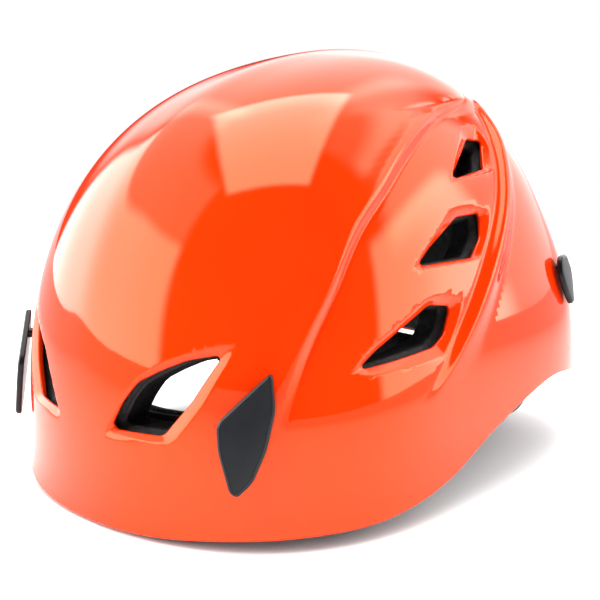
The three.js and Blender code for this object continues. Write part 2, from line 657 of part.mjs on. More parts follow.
// The divider joins front and rear strap to the chin strap; its lever clamps them.
const dividerPlate = topPrism(roundedShape([
  [-14, -10.5], [-14, 10.5], [2, 19], [8.5, 21], [24, 5.5], [24, -5.5], [8.5, -21], [2, -19],
], 3), DIVIDER.z0, DIVIDER.z1, 0.5);
const dividerSlot = block(-1.5, 1.5, -8.2, 8.2, -5, 10);
const dividerSlots = [
  dividerSlot.clone().translate(-9.5, 0, 0),
  dividerSlot.clone().rotateZ(-45 * RAD).translate(12.5, -9.8, 0),
  dividerSlot.clone().rotateZ(45 * RAD).translate(12.5, 9.8, 0),
];
const atDivider = (g) => g.translate(DIVIDER.x, DIVIDER.y, 0);
const ears = [-11.4, 9.4].map((y) => block(-6.5, -1.5, y, y + 2, DIVIDER.z1 - 1, DIVIDER.z1 + 4));
addPair('divider', atDivider(join(cut(dividerPlate, ...dividerSlots), ...ears)), MATERIAL.plastic);
const lever = join(
  bar(V(-4, -9, DIVIDER.z1 + 2), V(-4, 9, DIVIDER.z1 + 2), 1.5, 14),
  block(-4, 11, -7.5, 7.5, DIVIDER.z1 + 1, DIVIDER.z1 + 3),
  block(9.5, 12, -7.5, 7.5, DIVIDER.z1 + 1, DIVIDER.z1 + 4.2),
);
addPair('divider_lever', atDivider(lever), MATERIAL.clip);

// The chin strap leaves the divider flat, turns on edge and runs round to the buckle at the front.
const chinStations = [
  { p: [34.5, 8, 2], w: [0, 1, 0] }, { p: [29.5, 7, 5], w: [0.1, 0.95, 0.25] },
  { p: [24.5, 1, 9.8], w: [0.25, 0.3, 0.9] },
  { p: [24.5, -12, 10.2], w: [0, 0, 1] }, { p: [30, -28, 10], w: [0, 0, 1] },
  { p: [37, -44, 10.2], w: [0, 0, 1] },
  { p: [40, -60, 11.6], w: [0, 0, 1] }, { p: [35.5, -73, 13.2], w: [0, 0, 1] },
  { p: [BUCKLE.femaleEnd + 0.5, BUCKLE.y, BUCKLE.z], w: [0, 0, 1] },
];
addPair('chin_strap', strip(chinStations, WEB.width, WEB.thick, 36), MATERIAL.webbing);
// The free tail of the left strap lies against its inner face, under a keeper.
const TAIL = { from: 0.52, to: 0.97, offset: 2.2 };
add('strap_tail', strip(chinStations, WEB.width, WEB.thick, 26, TAIL), MATERIAL.webbing);
const KEEPER = { from: 0.56, to: 0.62, wall: 1.3, width: WEB.width + 1, thick: WEB.thick + TAIL.offset + 1 };
const keeperOut = { from: KEEPER.from, to: KEEPER.to, offset: TAIL.offset / 2 };
const keeperIn = { from: KEEPER.from - 0.02, to: KEEPER.to + 0.02, offset: TAIL.offset / 2 };
add('strap_keeper', cut(
  strip(chinStations, KEEPER.width + 2 * KEEPER.wall, KEEPER.thick + 2 * KEEPER.wall, 6, keeperOut),
  strip(chinStations, KEEPER.width, KEEPER.thick, 8, keeperIn),
), MATERIAL.pad);

// Side-release buckle, on edge: the webbing's width is upright and the halves part along X.
const B = BUCKLE;
function acrossBuckle(x0, x1, halfY, halfZ) {
  return block(x0, x1, B.y - halfY, B.y + halfY, B.z - halfZ, B.z + halfZ);
}
const barSlot = (x0, x1) => acrossBuckle(x0, x1, 10, 8.3);
const femaleOutline = roundedShape([
  [B.femaleEnd, 9.5], [B.femaleEnd - 9, 12.5], [B.mouth, 12.5],
  [B.mouth, -12.5], [B.femaleEnd - 9, -12.5], [B.femaleEnd, -9.5],
], 3);
const buckleBody = (outline) => prism(outline, V(1, 0, 0), V(0, 0, 1), -B.thick / 2, B.thick / 2, 0.8)
  .translate(0, B.y, B.z);
const female = cut(
  buckleBody(femaleOutline), acrossBuckle(B.mouth - 1, 15, 2.6, 10.6), acrossBuckle(5, 13, 2.6, 14),
  barSlot(18.5, 22),
);
add('buckle_female', female, MATERIAL.clip);
const prong = prism(
  roundedShape([[-6, 10], [-6, 6.6], [13, 7.2], [13.6, 9], [11, 10.3], [5.4, 10.3], [5, 9]], 0.6),
  V(1, 0, 0), V(0, 0, 1), -2.2, 2.2,
);
const maleOutline = roundedShape([
  [B.mouth - 0.5, 12.5], [B.maleEnd + 6, 12.5], [B.maleEnd, 9.5],
  [B.maleEnd, -9.5], [B.maleEnd + 6, -12.5], [B.mouth - 0.5, -12.5],
], 3);
const male = cut(
  join(
    buckleBody(maleOutline), prong.clone().translate(0, B.y, B.z),
    prong.clone().rotateX(Math.PI).translate(0, B.y, B.z), acrossBuckle(-6, 12, 2.2, 1.8),
  ),
  barSlot(B.maleEnd + 4, B.maleEnd + 7.5),
);
add('buckle_male', male, MATERIAL.clip);

export default helmet;
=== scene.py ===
"""Climbing helmet: the looks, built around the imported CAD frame.

Lengths are in millimetres until make_mesh() turns them into metres.
"""
import json
import math

import bpy
import numpy as np
from mathutils import Matrix, Vector


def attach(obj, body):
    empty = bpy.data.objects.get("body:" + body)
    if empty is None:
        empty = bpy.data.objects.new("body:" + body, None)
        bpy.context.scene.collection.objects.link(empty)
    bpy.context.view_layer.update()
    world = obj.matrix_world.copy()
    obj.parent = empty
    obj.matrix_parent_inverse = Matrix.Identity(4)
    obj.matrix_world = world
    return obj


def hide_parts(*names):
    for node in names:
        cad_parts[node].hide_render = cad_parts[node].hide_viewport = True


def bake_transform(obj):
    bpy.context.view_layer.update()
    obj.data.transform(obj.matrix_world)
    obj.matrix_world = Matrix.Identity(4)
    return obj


MM = 0.001
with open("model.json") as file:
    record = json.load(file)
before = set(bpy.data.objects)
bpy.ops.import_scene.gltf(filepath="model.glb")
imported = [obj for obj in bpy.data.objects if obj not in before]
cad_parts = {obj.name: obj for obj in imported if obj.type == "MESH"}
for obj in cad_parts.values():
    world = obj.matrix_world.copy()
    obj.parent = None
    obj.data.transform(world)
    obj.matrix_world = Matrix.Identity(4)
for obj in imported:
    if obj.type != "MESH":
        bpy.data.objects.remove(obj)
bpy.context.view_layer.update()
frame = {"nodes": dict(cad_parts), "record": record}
nodes = frame["nodes"]
SIDES = (("left", 1), ("right", -1))

# ---- Driving dimensions, as in the CAD model ----
DOME = dict(
    half_width=111.1, taper=-0.054, wide_ends=0.064, half_length=139.4, shift=2.6,
    equator_z=29.4, rise=171.0, tilt=21.1, tail_up=6.8, skirt=77.6,
    fullness=0.063, square=0.863, square_rear=0.754, square_low=0.649,
    flare=0.10, flare_front=-0.08, flare_rear=0.15,
)
# Height of the rim along the helmet, as (y, z).
RIM = (
    (-150, 0), (-141, 0), (-120, 3.9), (-97, 5.6), (-56, 7.6), (-17, 15.3), (24, 31.9),
    (61, 41.8), (85, 42), (150, 28),
)
# The side panel's front and rear ridge, seen from the side as (z, y).
FRONT_RIDGE = (
    (40, -102), (60, -97), (85, -86.7), (110, -69.7), (130, -53), (147, -30), (158, -12.5),
    (169, 10.8), (174.8, 29), (180, 54), (208, 62),
)
REAR_RIDGE = (
    (40, -50), (63, -20), (85, 3), (110, 25.5), (129, 41.5), (143, 51.5), (157, 60), (168, 65),
    (178, 67.5), (208, 69),
)
# How far the side panel and the lower rear lie below the plain dome, and the front plate above it.
PANEL_DEPTH = 2.6
REAR_DEPTH = 4.6
PLATE_LIFT = 0.8
# What runs along the ridges: (height, distance behind the ridge's line, width).
FRONT_ROLL = (0.9, -6.5, 3.6)
FRONT_GROOVE = (-0.45, 0.4, 0.9)
REAR_GROOVE = (-0.4, -5.0, 0.9)
REAR_RIB_LIFT = 1.0
KEEL_LIFT = 0.9
KEEL_WIDTH = 11

SHELL_THICK = 3.0
EDGE_ROUND = 1.5
# The liner's faces below the plain dome, and its lower edge above the rim.
LINER_OUT = 5.0
LINER_IN = 20.0
LINER_LIFT = 7.0
LINER_EDGE_ROUND = 2.0
# The air channels in the liner: how far off the middle, how wide and how deep.
CHANNEL_APART = 34
CHANNEL_WIDTH = 9
CHANNEL_DEPTH = 3

# Each vent: the hole's corners, and those of the bevelled recess around it. Side vents are seen from
# the side as (y, z), and the front one from the front as (x, z).
SIDE_VENTS = (
    (((40.4, 163.8), (50.7, 162.2), (43, 150.5), (14.7, 148.2), (26.3, 155.6)),
     ((8, 145.7), (49, 147.2), (53.5, 158), (51, 169.5), (34.5, 168.8), (20, 157.5))),
    (((26.5, 129.8), (22.3, 120.3), (13.1, 112.4), (-24.4, 113.7), (-15.1, 119.3), (8.5, 130.2)),
     ((-34.5, 111), (16.5, 109.8), (26, 118.5), (33.5, 130.6), (21, 134.6), (2, 135), (-20, 121))),
    (((-7.7, 92.1), (-14.2, 81.6), (-22, 77.2), (-66.1, 75.1), (-57.3, 80.7), (-41.5, 87.7),
      (-22.6, 94.9)),
     ((-75.2, 72.6), (-60.9, 71), (-46.4, 71), (-18.5, 70.6), (-8, 81.5), (0.5, 95), (-14.5, 99.4),
      (-26, 99), (-44, 91.6), (-62, 83.4))),
)
FRONT_VENT = (
    ((66.8, 82.6), (57.1, 63), (45.8, 47.7), (20.3, 47), (27.4, 59.4), (34.4, 68.5), (45.3, 74.9),
     (55.4, 79.7)),
    ((73.5, 87.5), (68.5, 88.2), (56.5, 84), (45.5, 79), (34.5, 72), (27, 61.8), (15.5, 43.6),
     (49.5, 44), (53.5, 47.2), (63.6, 63)),
)
VENT_ROUND = 2.5
RECESS_ROUND = 3
RECESS_DEPTH = 3.0
RECESS_EDGE_SOFT = 0.9
# A vent cuts only past this x at the sides, and before this y in front.
SIDE_VENTS_FROM = 25
FRONT_VENT_FROM = -40

# A wall's cells across a side of its cube sphere, how many times finer they are at its creases, and
# its lowest height on the cube. FAR is more than any distance here.
MESH_CELLS = 82
FINER = 3
LOWEST = -0.75
RAD = math.pi / 180
FAR = 1e3


# ---- Small geometry helpers ----
def unit(v):
    return v / np.maximum(np.linalg.norm(v, axis=-1, keepdims=True), 1e-12)


def smooth(t):
    c = np.clip(t, 0, 1)
    return c * c * (3 - 2 * c)


def through(points, x):
    """A smooth curve through (x, value) points."""
    p = np.array(points, float)
    slope = np.empty(len(p))
    slope[1:-1] = (p[2:, 1] - p[:-2, 1]) / (p[2:, 0] - p[:-2, 0])
    slope[0] = (p[1, 1] - p[0, 1]) / (p[1, 0] - p[0, 0])
    slope[-1] = (p[-1, 1] - p[-2, 1]) / (p[-1, 0] - p[-2, 0])
    i = np.clip(np.searchsorted(p[:, 0], x) - 1, 0, len(p) - 2)
    w = p[i + 1, 0] - p[i, 0]
    t = np.clip((x - p[i, 0]) / w, 0, 1)
    h = t * t * (3 - 2 * t)
    bend = w * t * (1 - t) * ((1 - t) * slope[i] - t * slope[i + 1])
    return p[i, 1] + (p[i + 1, 1] - p[i, 1]) * h + bend


def rounded(points, radius, steps=5):
    """An outline with its corners rounded, as an (n, 2) array."""
    p = np.array(points, float)
    out = []
    for i, c in enumerate(p):
        before, after = p[i - 1] - c, p[(i + 1) % len(p)] - c
        r = min(radius, np.linalg.norm(before) / 2, np.linalg.norm(after) / 2)
        start, end = c + unit(before) * r, c + unit(after) * r
        for t in np.linspace(0, 1, steps + 1):
            out.append((1 - t) ** 2 * start + 2 * t * (1 - t) * c + t * t * end)
    return np.array(out)


def outline_distance(outline, q):
    """Signed distance from points q to a closed outline, positive outside."""
    best = np.full(len(q), FAR)
    inside = np.zeros(len(q), bool)
    for a, b in zip(outline, np.roll(outline, -1, axis=0)):
        ab = b - a
        aq = q - a
        t = np.clip(aq @ ab / max(ab @ ab, 1e-12), 0, 1)
        best = np.minimum(best, np.linalg.norm(aq - t[:, None] * ab, axis=1))
        crosses = (a[1] > q[:, 1]) != (b[1] > q[:, 1])
        if crosses.any():
            x = a[0] + (q[:, 1] - a[1]) / (ab[1] if ab[1] else 1e-12) * ab[0]
            inside ^= crosses & (q[:, 0] < x)
    return np.where(inside, -best, best)


def ring_faces(a, b):
    """Faces between two closed rings, each a list of as many point numbers."""
    return list(zip(a, np.roll(a, -1), np.roll(b, -1), b))


def make_mesh(name, points, faces, normals=None, uv=None, sharp=None):
    """A mesh object from points in mm. Each point may have a normal and a (u, v) place in metres."""
    mesh = bpy.data.meshes.new(name)
    places = [tuple(p) for p in np.asarray(points, float) * MM]
    mesh.from_pydata(places, [], [tuple(map(int, f)) for f in faces])
    mesh.validate()
    mesh.polygons.foreach_set("use_smooth", [True] * len(mesh.polygons))
    if uv is not None:
        corner = np.zeros(len(mesh.loops), int)
        mesh.loops.foreach_get("vertex_index", corner)
        layer = mesh.uv_layers.new(name="Weave")
        layer.data.foreach_set("uv", np.asarray(uv, np.float32)[corner].ravel())
    if normals is not None:
        mesh.normals_split_custom_set_from_vertices([tuple(n) for n in normals])
    elif sharp is not None:
        mesh.set_sharp_from_angle(angle=sharp * RAD)
    mesh.update()
    obj = bpy.data.objects.new(name, mesh)
    bpy.context.scene.collection.objects.link(obj)
    return obj


def for_side(points, faces, sign):
    """A piece made for the left, mirrored where sign is negative."""
    if sign > 0:
        return points, faces
    return points * [-1, 1, 1], [f[::-1] for f in faces]


def place(obj, body, material, slot, *replaced):
    """Gives a piece its material, and puts it on its body in place of CAD nodes. Its slot is not used."""
    obj.data.materials.clear()
    obj.data.materials.append(material)
    if replaced:
        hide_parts(*replaced)
    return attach(obj, body)


# ---- The dome ----
def dome_point(d):
    """The plain dome at unit directions d, an (n, 3) array."""
    nx, ny, sine = d[:, 0], d[:, 1], d[:, 2]
    up, down = np.maximum(0, sine), np.minimum(0, sine)
    flat = np.hypot(nx, ny) + 1e-12
    cos_b, sin_b = nx / flat, ny / flat
    power = 2 + DOME["square"] + DOME["square_rear"] * sin_b + DOME["square_low"] * down**2
    power = np.maximum(2, power)
    spread = np.abs(cos_b) ** power + np.abs(sin_b) ** power
    corner = np.maximum(spread, 0.1) ** (-1 / power)
    square = 1 + (corner - 1) * (1 - up**2)
    full = 1 + DOME["fullness"] * 4 * up**2 * (1 - up**2)
    flare = DOME["flare"] + DOME["flare_front"] * np.minimum(ny, 0) ** 2
    flare = flare + DOME["flare_rear"] * np.maximum(ny, 0) ** 2
    k = square * full * (1 + down**2 * flare) / np.sqrt(1 - down**2)
    x = DOME["half_width"] * nx * (1 + DOME["taper"] * ny + DOME["wide_ends"] * ny**2) * k
    y = (DOME["half_length"] * ny + DOME["shift"] * ny**2) * k
    z = DOME["equator_z"] + DOME["rise"] * up * full + DOME["skirt"] * down
    return np.stack([x, y, z + (DOME["tilt"] * ny + DOME["tail_up"] * ny**2) * up], axis=1)


def tangents(d):
    a = np.where(np.abs(d[:, 2:3]) < 0.9, [[0.0, 0.0, 1.0]], [[1.0, 0.0, 0.0]])
    u = unit(np.cross(a, d))
    return u, np.cross(d, u)


def slopes(surface, d, e=2e-3):
    """How a surface or a field changes along two tangents of d."""
    u, v = tangents(d)
    along_u = (surface(unit(d + e * u)) - surface(unit(d - e * u))) / (2 * e)
    along_v = (surface(unit(d + e * v)) - surface(unit(d - e * v))) / (2 * e)
    return along_u, along_v


def normals_of(surface, d):
    return unit(np.cross(*slopes(surface, d)))


def ridge_side(ridge, p, normal):
    """How far a point lies behind a ridge, measured along the surface."""
    slope = (through(ridge, p[:, 2] + 1) - through(ridge, p[:, 2] - 1)) / 2
    away = np.stack([np.zeros(len(p)), np.ones(len(p)), -slope], axis=1)
    along = away - (away * normal).sum(1, keepdims=True) * normal
    return (p[:, 1] - through(ridge, p[:, 2])) / np.maximum(np.linalg.norm(along, axis=1), 0.2)


def bump(s, width):
    return np.exp(-((s / width) ** 2))


def rise(value, start, over):
    """0 up to start, rising smoothly to 1 over the next stretch."""
    return smooth((value - start) / over)


def fall(value, end, over):
    """1 up to a stretch before end, falling smoothly to 0 there."""
    return smooth((end - value) / over)


def strip(distance, lift, at, width):
    """A soft strip at some distance from a line."""
    return lift * bump(distance - at, width)


def ridge_relief(p, normal):
    """Front plate, rolled front ridge, sunken side panel, standing rear ridge and lower rear."""
    z = p[:, 2]
    front, rear = ridge_side(FRONT_RIDGE, p, normal), ridge_side(REAR_RIDGE, p, normal)
    shown = rise(z, 50, 40)
    crest = shown * fall(z, 184, 14)
    rib = shown * fall(z, 177, 20)
    panel = rise(front, -4.5, 5) * (1 - rise(rear, -4.5, 5)) * rise(z, 52, 34) * fall(z, 180, 7)
    behind = rise(rear, 1, 13)
    high = PLATE_LIFT - PANEL_DEPTH * panel - REAR_DEPTH * rise(z, 60, 70) * behind
    high = high + crest * (strip(front, *FRONT_ROLL) + strip(front, *FRONT_GROOVE))
    high = high + REAR_RIB_LIFT * rib * rise(rear, -3.5, 4) * (1 - behind)
    return high + rib * strip(rear, *REAR_GROOVE)


def keel_relief(p):
    """The soft keel along the middle of the front plate."""
    along = fall(p[:, 1], 60, 90) * rise(p[:, 2], 60, 50)
    return KEEL_LIFT * along * bump(p[:, 0], KEEL_WIDTH)


# Each vent as (seen from the side, hole, recess).
VENTS = [
    (from_side, rounded(hole, VENT_ROUND), rounded(recess, RECESS_ROUND))
    for from_side, (hole, recess) in [(True, v) for v in SIDE_VENTS] + [(False, FRONT_VENT)]
]


def vent_plane(from_side, p):
    """Points seen along a vent's cut, and which of them lie on its side of the helmet."""
    if from_side:
        return p[:, 1:3], np.abs(p[:, 0]) > SIDE_VENTS_FROM
    return np.stack([np.abs(p[:, 0]), p[:, 2]], axis=1), p[:, 1] < FRONT_VENT_FROM


def vent_distances(p):
    """The least distance to a vent's hole, and the recesses' depth, at each point."""
    hole = np.full(len(p), FAR)
    depth = np.zeros(len(p))
    for from_side, inner, outer in VENTS:
        q, near = vent_plane(from_side, p)
        lo, hi = outer.min(0) - 6, outer.max(0) + 6
        near = near & ((q > lo) & (q < hi)).all(axis=1)
        if not near.any():
            continue
        to_hole = outline_distance(inner, q[near])
        to_edge = -outline_distance(outer, q[near])
        hole[near] = np.minimum(hole[near], to_hole)
        inside = np.clip(to_edge, 0, None)
        inside = np.hypot(inside, RECESS_EDGE_SOFT) - RECESS_EDGE_SOFT
        share = inside / np.maximum(inside + np.maximum(to_hole, 0), 1e-6)
        depth[near] = np.maximum(depth[near], RECESS_DEPTH * np.where(to_hole < 0, 1, share))
    return hole, depth


def shell_surface(d):
    """The shell's outer face."""
    p, normal = dome_point(d), normals_of(dome_point, d)
    high = ridge_relief(p, normal) + keel_relief(p) - vent_distances(p)[1]
    return p + normal * high[:, None]


def creased(d):
    """Where the shell's face turns sharply and needs finer cells."""
    p, normal = dome_point(d), normals_of(dome_point, d)
    front, rear = ridge_side(FRONT_RIDGE, p, normal), ridge_side(REAR_RIDGE, p, normal)
    hole, depth = vent_distances(p)
    on_ridge = ((np.abs(front + 1) < 6) | (np.abs(rear + 2) < 6)) & (p[:, 2] > 46)
    return (hole > -2.5) & (on_ridge | (depth > 0) | (hole < 4))


def rim_field(p, lift=0.0):
    return p[:, 2] - np.maximum(0, through(RIM, p[:, 1])) - lift


def shell_field(d):
    """Positive where there is shell."""
    p = dome_point(d)
    return np.minimum(rim_field(p, EDGE_ROUND), vent_distances(p)[0] - 1.0)


# ---- Walls cut out of a sphere of directions ----
KEY_BITS = 21
KEY_STEPS = 4e5


def keys_of(d):
    """A whole number for each direction, the same for all that are equal but for rounding."""
    k = np.round(d * KEY_STEPS).astype(np.int64) + 2 ** (KEY_BITS - 1)
    return (k[:, 0] << 2 * KEY_BITS) + (k[:, 1] << KEY_BITS) + k[:, 2]


def sphere_grid(n, lowest, fine=None):
    """Unit directions and faces of a cube sphere, from the top down to `lowest` on its sides.

    Cells where fine(direction) is true are split FINER by FINER. Their neighbours take the new points.
    """
    k = FINER
    first = int(np.ceil((lowest + 1) / 2 * n))
    one = np.ones_like
    sheets = (
        (0, lambda a, b: (a, b, one(a))), (first, lambda a, b: (one(a), b, a)),
        (first, lambda a, b: (-one(a), b, a)), (first, lambda a, b: (b, one(a), a)),
        (first, lambda a, b: (b, -one(a), a)),
    )
    around = np.array([(0, 0), (1, 0), (1, 1), (0, 1)])
    coarse, small = [], []
    for start, place_at in sheets:
        def at(cells):
            a, b = np.moveaxis(np.tan((cells / n - 0.5) * math.pi / 2), -1, 0)
            return unit(np.stack(place_at(a, b), -1))
        r, c = np.meshgrid(np.arange(start, n), np.arange(n), indexing="ij")
        cells = np.stack([r.ravel(), c.ravel()], 1).astype(float)
        split = fine(at(cells + 0.5)) if fine else np.zeros(len(cells), bool)
        whole = cells[~split][:, None] + around
        edges = [whole + (np.roll(whole, -1, axis=1) - whole) * j / k for j in range(k)]
        coarse.append(at(np.stack(edges, 2).reshape(-1, 4 * k, 2)))
        parts = np.stack(np.meshgrid(np.arange(k), np.arange(k), indexing="ij"), -1).reshape(-1, 1, 2)
        small.append(at((cells[split][:, None, None] + (parts + around) / k).reshape(-1, 4, 2)))
    coarse, small = np.concatenate(coarse), np.concatenate(small)
    small_keys = keys_of(small.reshape(-1, 3)).reshape(-1, 4)
    coarse_keys = keys_of(coarse.reshape(-1, 3)).reshape(-1, 4 * k)
    kept = np.isin(coarse_keys, small_keys)
    kept[:, ::k] = True
    every = np.concatenate([coarse.reshape(-1, 3)[kept.ravel()], small.reshape(-1, 3)])
    keys = np.concatenate([coarse_keys[kept], small_keys.ravel()])
    _, index, back = np.unique(keys, return_index=True, return_inverse=True)
    back = back.ravel()
    sizes = np.concatenate([kept.sum(1), np.full(len(small), 4)])
    faces = [tuple(map(int, f)) for f in np.split(back, np.cumsum(sizes)[:-1])]
    return every[index], faces


# Only points this near the edge are moved onto it, by up to this share of their shortest cell edge.
SNAP_WITHIN = 4
SNAP_SHARE = 0.4
SNAP_STEP = 1e-4


def snapped(d, field, reach):
    """Moves the directions that nearly lie on the field's edge onto it. reach is how far each may go."""
    value = field(d)
    d, value = d.copy(), value.copy()
    near = np.flatnonzero(np.abs(value) < SNAP_WITHIN)
    start = d[near].copy()
    moving = start.copy()
    for _ in range(3):
        gu, gv = slopes(field, moving, 4e-4)
        u, v = tangents(moving)
        size = np.maximum(gu**2 + gv**2, 1e-6)
        step = np.clip(-field(moving) / size, -SNAP_STEP, SNAP_STEP)[:, None]
        moving = unit(moving + step * (gu[:, None] * u + gv[:, None] * v))
    travel = np.linalg.norm(moving - start, axis=1)
    good = (travel < reach[near]) & (np.abs(field(moving)) < 0.02)
    d[near[good]] = moving[good]
    value[near[good]] = 0
    return d, value


def clipped(d, faces, field):
    """The part of a grid where the field is positive, as directions and faces."""
    reach = np.full(len(d), 1.0)
    for f in faces:
        ring = d[list(f)]
        least = np.linalg.norm(ring - np.roll(ring, -1, axis=0), axis=1).min() * SNAP_SHARE
        for i in f:
            reach[i] = min(reach[i], least)
    d, value = snapped(d, field, reach)
    sign = np.sign(value)
    kept, mixed, pairs = [], [], {}
    for f in faces:
        signs = [sign[i] for i in f]
        if max(signs) <= 0:
            continue
        if min(signs) >= 0:
            kept.append(f)
            continue
        mixed.append(f)
        for a, b in zip(f, f[1:] + f[:1]):
            if sign[a] * sign[b] < 0:
                pairs.setdefault((min(a, b), max(a, b)), len(d) + len(pairs))
    if pairs:
        ab = np.array(list(pairs))
        first_in = (value[ab[:, 0]] > 0)[:, None]
        inside = np.where(first_in, d[ab[:, 0]], d[ab[:, 1]])
        outside = np.where(first_in, d[ab[:, 1]], d[ab[:, 0]])
        for _ in range(14):
            mid = unit(inside + outside)
            ok = (field(mid) > 0)[:, None]
            inside, outside = np.where(ok, mid, inside), np.where(ok, outside, mid)
        d = np.concatenate([d, unit(inside + outside)])
    for f in mixed:
        face = []
        for a, b in zip(f, f[1:] + f[:1]):
            if sign[a] >= 0:
                face.append(a)
            if sign[a] * sign[b] < 0:
                face.append(pairs[(min(a, b), max(a, b))])
        if len(face) >= 3:
            kept.append(tuple(face))
    used = sorted({i for f in kept for i in f})
    new_place = {old: new for new, old in enumerate(used)}
    return d[used], [tuple(new_place[i] for i in f) for f in kept]


def facing_out(points, faces, normals):
    """The faces, each turned so that it winds round its outward normal."""
    out = []
    for f in faces:
        a, b, c = points[f[0]], points[f[1]], points[f[-1]]
        mid = points[f[len(f) // 2]]
        way = np.cross(b - a, c - a) + np.cross(mid - b, c - b) * 0.1
        out.append(f if way @ normals[f[0]] > 0 else f[::-1])
    return out


def edge_loops(faces):
    """Loops of points along the open edges, each in the order of the faces beside it."""
    follow = {}
    seen = set()
    for f in faces:
        for a, b in zip(f, f[1:] + f[:1]):
            seen.add((a, b))
    for a, b in seen:
        if (b, a) not in seen:
            follow[a] = b
    loops = []
    while follow:
        start = next(iter(follow))
        loop = [start]
        at = follow.pop(start)
        while at != start and at in follow:
            loop.append(at)
            at = follow.pop(at)
        loops.append(loop)
    return loops


def dome_wall(name, n, surface, field, edge_of, inner_surface=None, fine=None):
    """A closed wall: an outer face cut by the field, an inner face, and edges made of rings.

    edge_of(thickness at a loop's points) gives its rings, each as (how far towards the hole, how far
    inwards, tilt of its normal).
    """
    d, faces = clipped(*sphere_grid(n, LOWEST, fine), field)
    outer = surface(d)
    normal = normals_of(surface, d)
    inner = inner_surface(d) if inner_surface else outer - normal * SHELL_THICK
    inner_normal = -normals_of(inner_surface, d) if inner_surface else -normal
    faces = facing_out(outer, faces, normal)
    count = len(d)
    points, normals = [outer, inner], [normal, inner_normal]
    all_faces = list(faces) + [tuple(i + count for i in reversed(f)) for f in faces]
    total = 2 * count
    for loop in edge_loops(faces):
        ids = np.array(loop)
        su, sv = slopes(surface, d[ids])
        gu, gv = slopes(field, d[ids], 1e-3)
        uu, vv, uv = (su * su).sum(1), (sv * sv).sum(1), (su * sv).sum(1)
        det = np.maximum(uu * vv - uv**2, 1e-9)
        down = ((gu * vv - gv * uv) / det)[:, None] * su + ((gv * uu - gu * uv) / det)[:, None] * sv
        to_hole = -unit(down)
        span = inner[ids] - outer[ids]
        depth = np.linalg.norm(span, axis=1, keepdims=True)
        inwards = span / depth
        before = ids
        for towards, deep, tilt in edge_of(depth):
            ring = outer[ids] + to_hole * towards + inwards * deep
            ring_normal = unit(to_hole * math.cos(tilt) - inwards * math.sin(tilt))
            points.append(ring)
            normals.append(ring_normal)
            now = np.arange(len(ids)) + total
            total += len(ids)
            all_faces += ring_faces(now, before)
            before = now
        all_faces += ring_faces(ids + count, before)
    return make_mesh(name, np.concatenate(points), all_faces, np.concatenate(normals))


def round_edge(radius, steps, straight=0):
    """Rings of an edge that is rounded at both faces of a wall, with straight rings between."""
    turns = [math.pi / 2 * k / steps for k in range(steps + 1)]
    shares = [k / (straight + 1) for k in range(1, straight + 1)]

    def rings(depth):
        start = [(radius * math.sin(a), radius * (1 - math.cos(a)), math.pi / 2 - a) for a in turns[1:]]
        middle = [(radius, radius + (depth - 2 * radius) * share, 0.0) for share in shares]
        end = [(radius * math.cos(a), depth - radius + radius * math.sin(a), -a) for a in turns[:-1]]
        return start + middle + end
    return rings


# ---- Materials ----
def math_node(tree, operation, *values):
    """The output of a maths node fed with numbers and sockets."""
    node = tree.nodes.new("ShaderNodeMath")
    node.operation = operation
    for socket, value in zip(node.inputs, values):
        if isinstance(value, (int, float)):
            socket.default_value = value
        else:
            tree.links.new(value, socket)
    return node.outputs[0]


def range_node(tree, value, limits, kind="LINEAR"):
    """A value mapped from the first two limits to the last two."""
    node = tree.nodes.new("ShaderNodeMapRange")
    node.interpolation_type = kind
    for key, number in zip(("From Min", "From Max", "To Min", "To Max"), limits):
        node.inputs[key].default_value = number
    tree.links.new(value, node.inputs["Value"])
    return node.outputs["Result"]


class Nodes:
    """A material's node tree, with short calls for its nodes and links."""

    def __init__(self, name):
        self.material = bpy.data.materials.new(name)
        self.material.use_nodes = True
        self.tree = self.material.node_tree
        self.shader = self.tree.nodes["Principled BSDF"]
        self.where = self.add("ShaderNodeTexCoord").outputs["Object"]

    def add(self, kind, **values):
        node = self.tree.nodes.new(kind)
        for key, value in values.items():
            if hasattr(node, key):
                setattr(node, key, value)
            else:
                node.inputs[key.replace("_", " ")].default_value = value
        return node

    def link(self, a, b):
        self.tree.links.new(a, b)

    def noise(self, scale, detail=2.0, rough=0.5, where=None):
        node = self.add("ShaderNodeTexNoise", Scale=scale, Detail=detail, Roughness=rough)
        self.link(where or self.where, node.inputs["Vector"])
        return node.outputs["Fac"]

    def cells(self, scale):
        node = self.add("ShaderNodeTexVoronoi", Scale=scale)
        self.link(self.where, node.inputs["Vector"])
        return node.outputs["Distance"]

    def stretch(self, value, low, high, to_low=0.0, to_high=1.0):
        return range_node(self.tree, value, (low, high, to_low, to_high))

    def math(self, operation, *values):
        return math_node(self.tree, operation, *values)

    def colour(self, factor, dark, light):
        node = self.add("ShaderNodeMix", data_type="RGBA")
        self.link(factor, node.inputs["Factor"])
        node.inputs["A"].default_value = (*dark, 1)
        node.inputs["B"].default_value = (*light, 1)
        self.link(node.outputs["Result"], self.shader.inputs["Base Color"])

    def rough(self, factor, low, high):
        self.link(self.stretch(factor, 0, 1, low, high), self.shader.inputs["Roughness"])

    def bump(self, height, distance, strength=1.0):
        node = self.add("ShaderNodeBump", Strength=strength, Distance=distance)
        self.link(height, node.inputs["Height"])
        before = self.shader.inputs["Normal"].links
        if before:
            self.link(before[0].from_socket, node.inputs["Normal"])
        self.link(node.outputs["Normal"], self.shader.inputs["Normal"])

    def set(self, **values):
        for key, value in values.items():
            self.shader.inputs[key.replace("_", " ")].default_value = value
        return self


